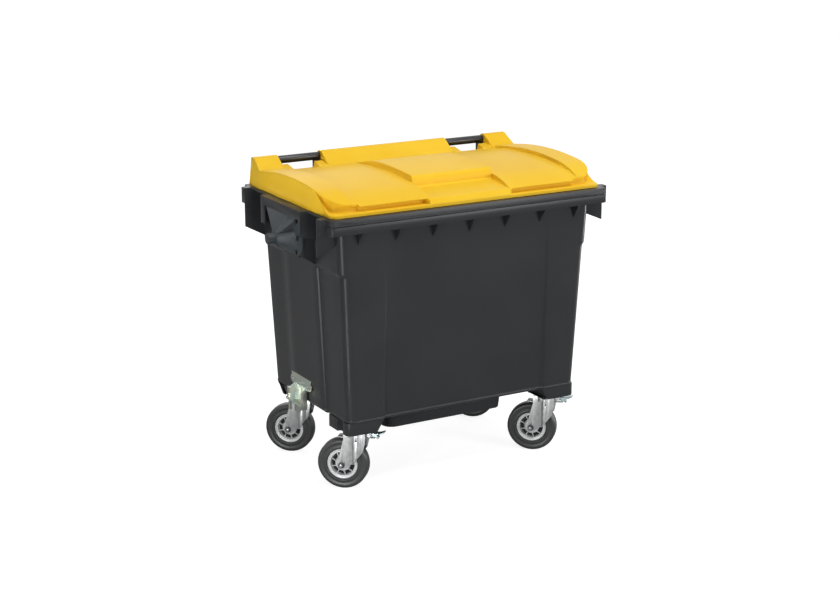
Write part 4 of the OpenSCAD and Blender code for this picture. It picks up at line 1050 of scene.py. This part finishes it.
def lamp(name, place, target, width, height, power, beam=180):
    """A soft box that faces its target, with a grid that keeps its beam to so many degrees."""
    light = bpy.data.lights.new(name, "AREA")
    light.shape = "RECTANGLE"
    light.size = width
    light.size_y = height
    light.energy = power
    light.spread = math.radians(beam)
    obj = bpy.data.objects.new(name, light)
    bpy.context.scene.collection.objects.link(obj)
    obj.visible_camera = False
    obj.location = place
    obj.rotation_euler = (Vector(target) - Vector(place)).to_track_quat("-Z", "Y").to_euler()


def ground():
    """A pale floor that is plain white where nothing shades it."""
    corners = [(-90, -90, 0), (90, -90, 0), (90, 90, 0), (-90, 90, 0)]
    floor = new_object("floor", corners, [(0, 1, 2, 3)], 1.0)
    material, tree, _ = new_material("white painted floor")
    path = add(tree, "ShaderNodeLightPath")
    paint = add(tree, "ShaderNodeBsdfDiffuse", {"Color": colour("#C6C6C6")})
    glow = add(tree, "ShaderNodeEmission", {"Color": (1, 1, 1, 1), "Strength": 0.83})
    lit = add(tree, "ShaderNodeAddShader", {0: paint.outputs[0], 1: glow.outputs[0]})
    chosen = add(tree, "ShaderNodeMixShader", {
        0: path.outputs["Is Camera Ray"], 1: paint.outputs[0], 2: lit.outputs[0]})
    add(tree, "ShaderNodeOutputMaterial", {"Surface": chosen.outputs[0]})
    floor.data.materials.append(material)


CAMERA_PLACE = (-3.4205, -5.9586, 2.5295)
CAMERA_TARGET = (-0.01892, 0, 0.63633)


def camera():
    """A long lens that looks down a little from the left of the front."""
    data = bpy.data.cameras.new("camera")
    data.lens = 76.64
    data.sensor_width = 36
    obj = bpy.data.objects.new("camera", data)
    bpy.context.scene.collection.objects.link(obj)
    obj.location = CAMERA_PLACE
    towards = Vector(CAMERA_TARGET) - obj.location
    obj.rotation_euler = towards.to_track_quat("-Z", "Y").to_euler()
    bpy.context.scene.camera = obj


camera()
studio()
ground()
middle = (0, 0, 0.7)
lamp("overhead", (0.4, -1.6, 4.8), middle, 2.6, 2.6, 108)
lamp("corner strip", (-2.5, -1.55, 0.42), (-0.5, -0.33, 0.42), 0.3, 0.8, 19)
lamp("low strip", (-1.35, -0.82, 0.19), (-0.55, -0.35, 0.3), 0.12, 0.34, 1.6)
lamp("lid flank", (-3.6, -0.9, 1.9), (-0.62, -0.05, 1.17), 0.5, 0.2, 0.45, 18)
lamp("right strip", (3.4, -0.4, 0.5), (0.5, -0.3, 0.5), 0.2, 0.9, 20)
lamp("front fill", (3.2, -5.6, 1.8), middle, 2.2, 2.2, 135)
lamp("back", (0.5, 4.5, 3.5), middle, 2.5, 2.5, 30)
bpy.context.scene.view_settings.view_transform = "Standard"

build_lid()
build_tub()
build_rim_beads()
build_feet()
build_spring()
build_trunnion_cone(-1, "left")
build_trunnion_cone(1, "right")
for corner in CORNERS:
    build_wheel(corner)
DONE = {"lid", "tub", "feet", "lock_spring"}
DONE |= {corner + part for corner in CORNERS for part in ("_wheel_rim", "_tyre")}
for node, slot in NODE_SLOT.items():
    if node not in DONE:
        refined(node, slot, body_of_node(node), WIDER_EDGES.get(node, EDGE))
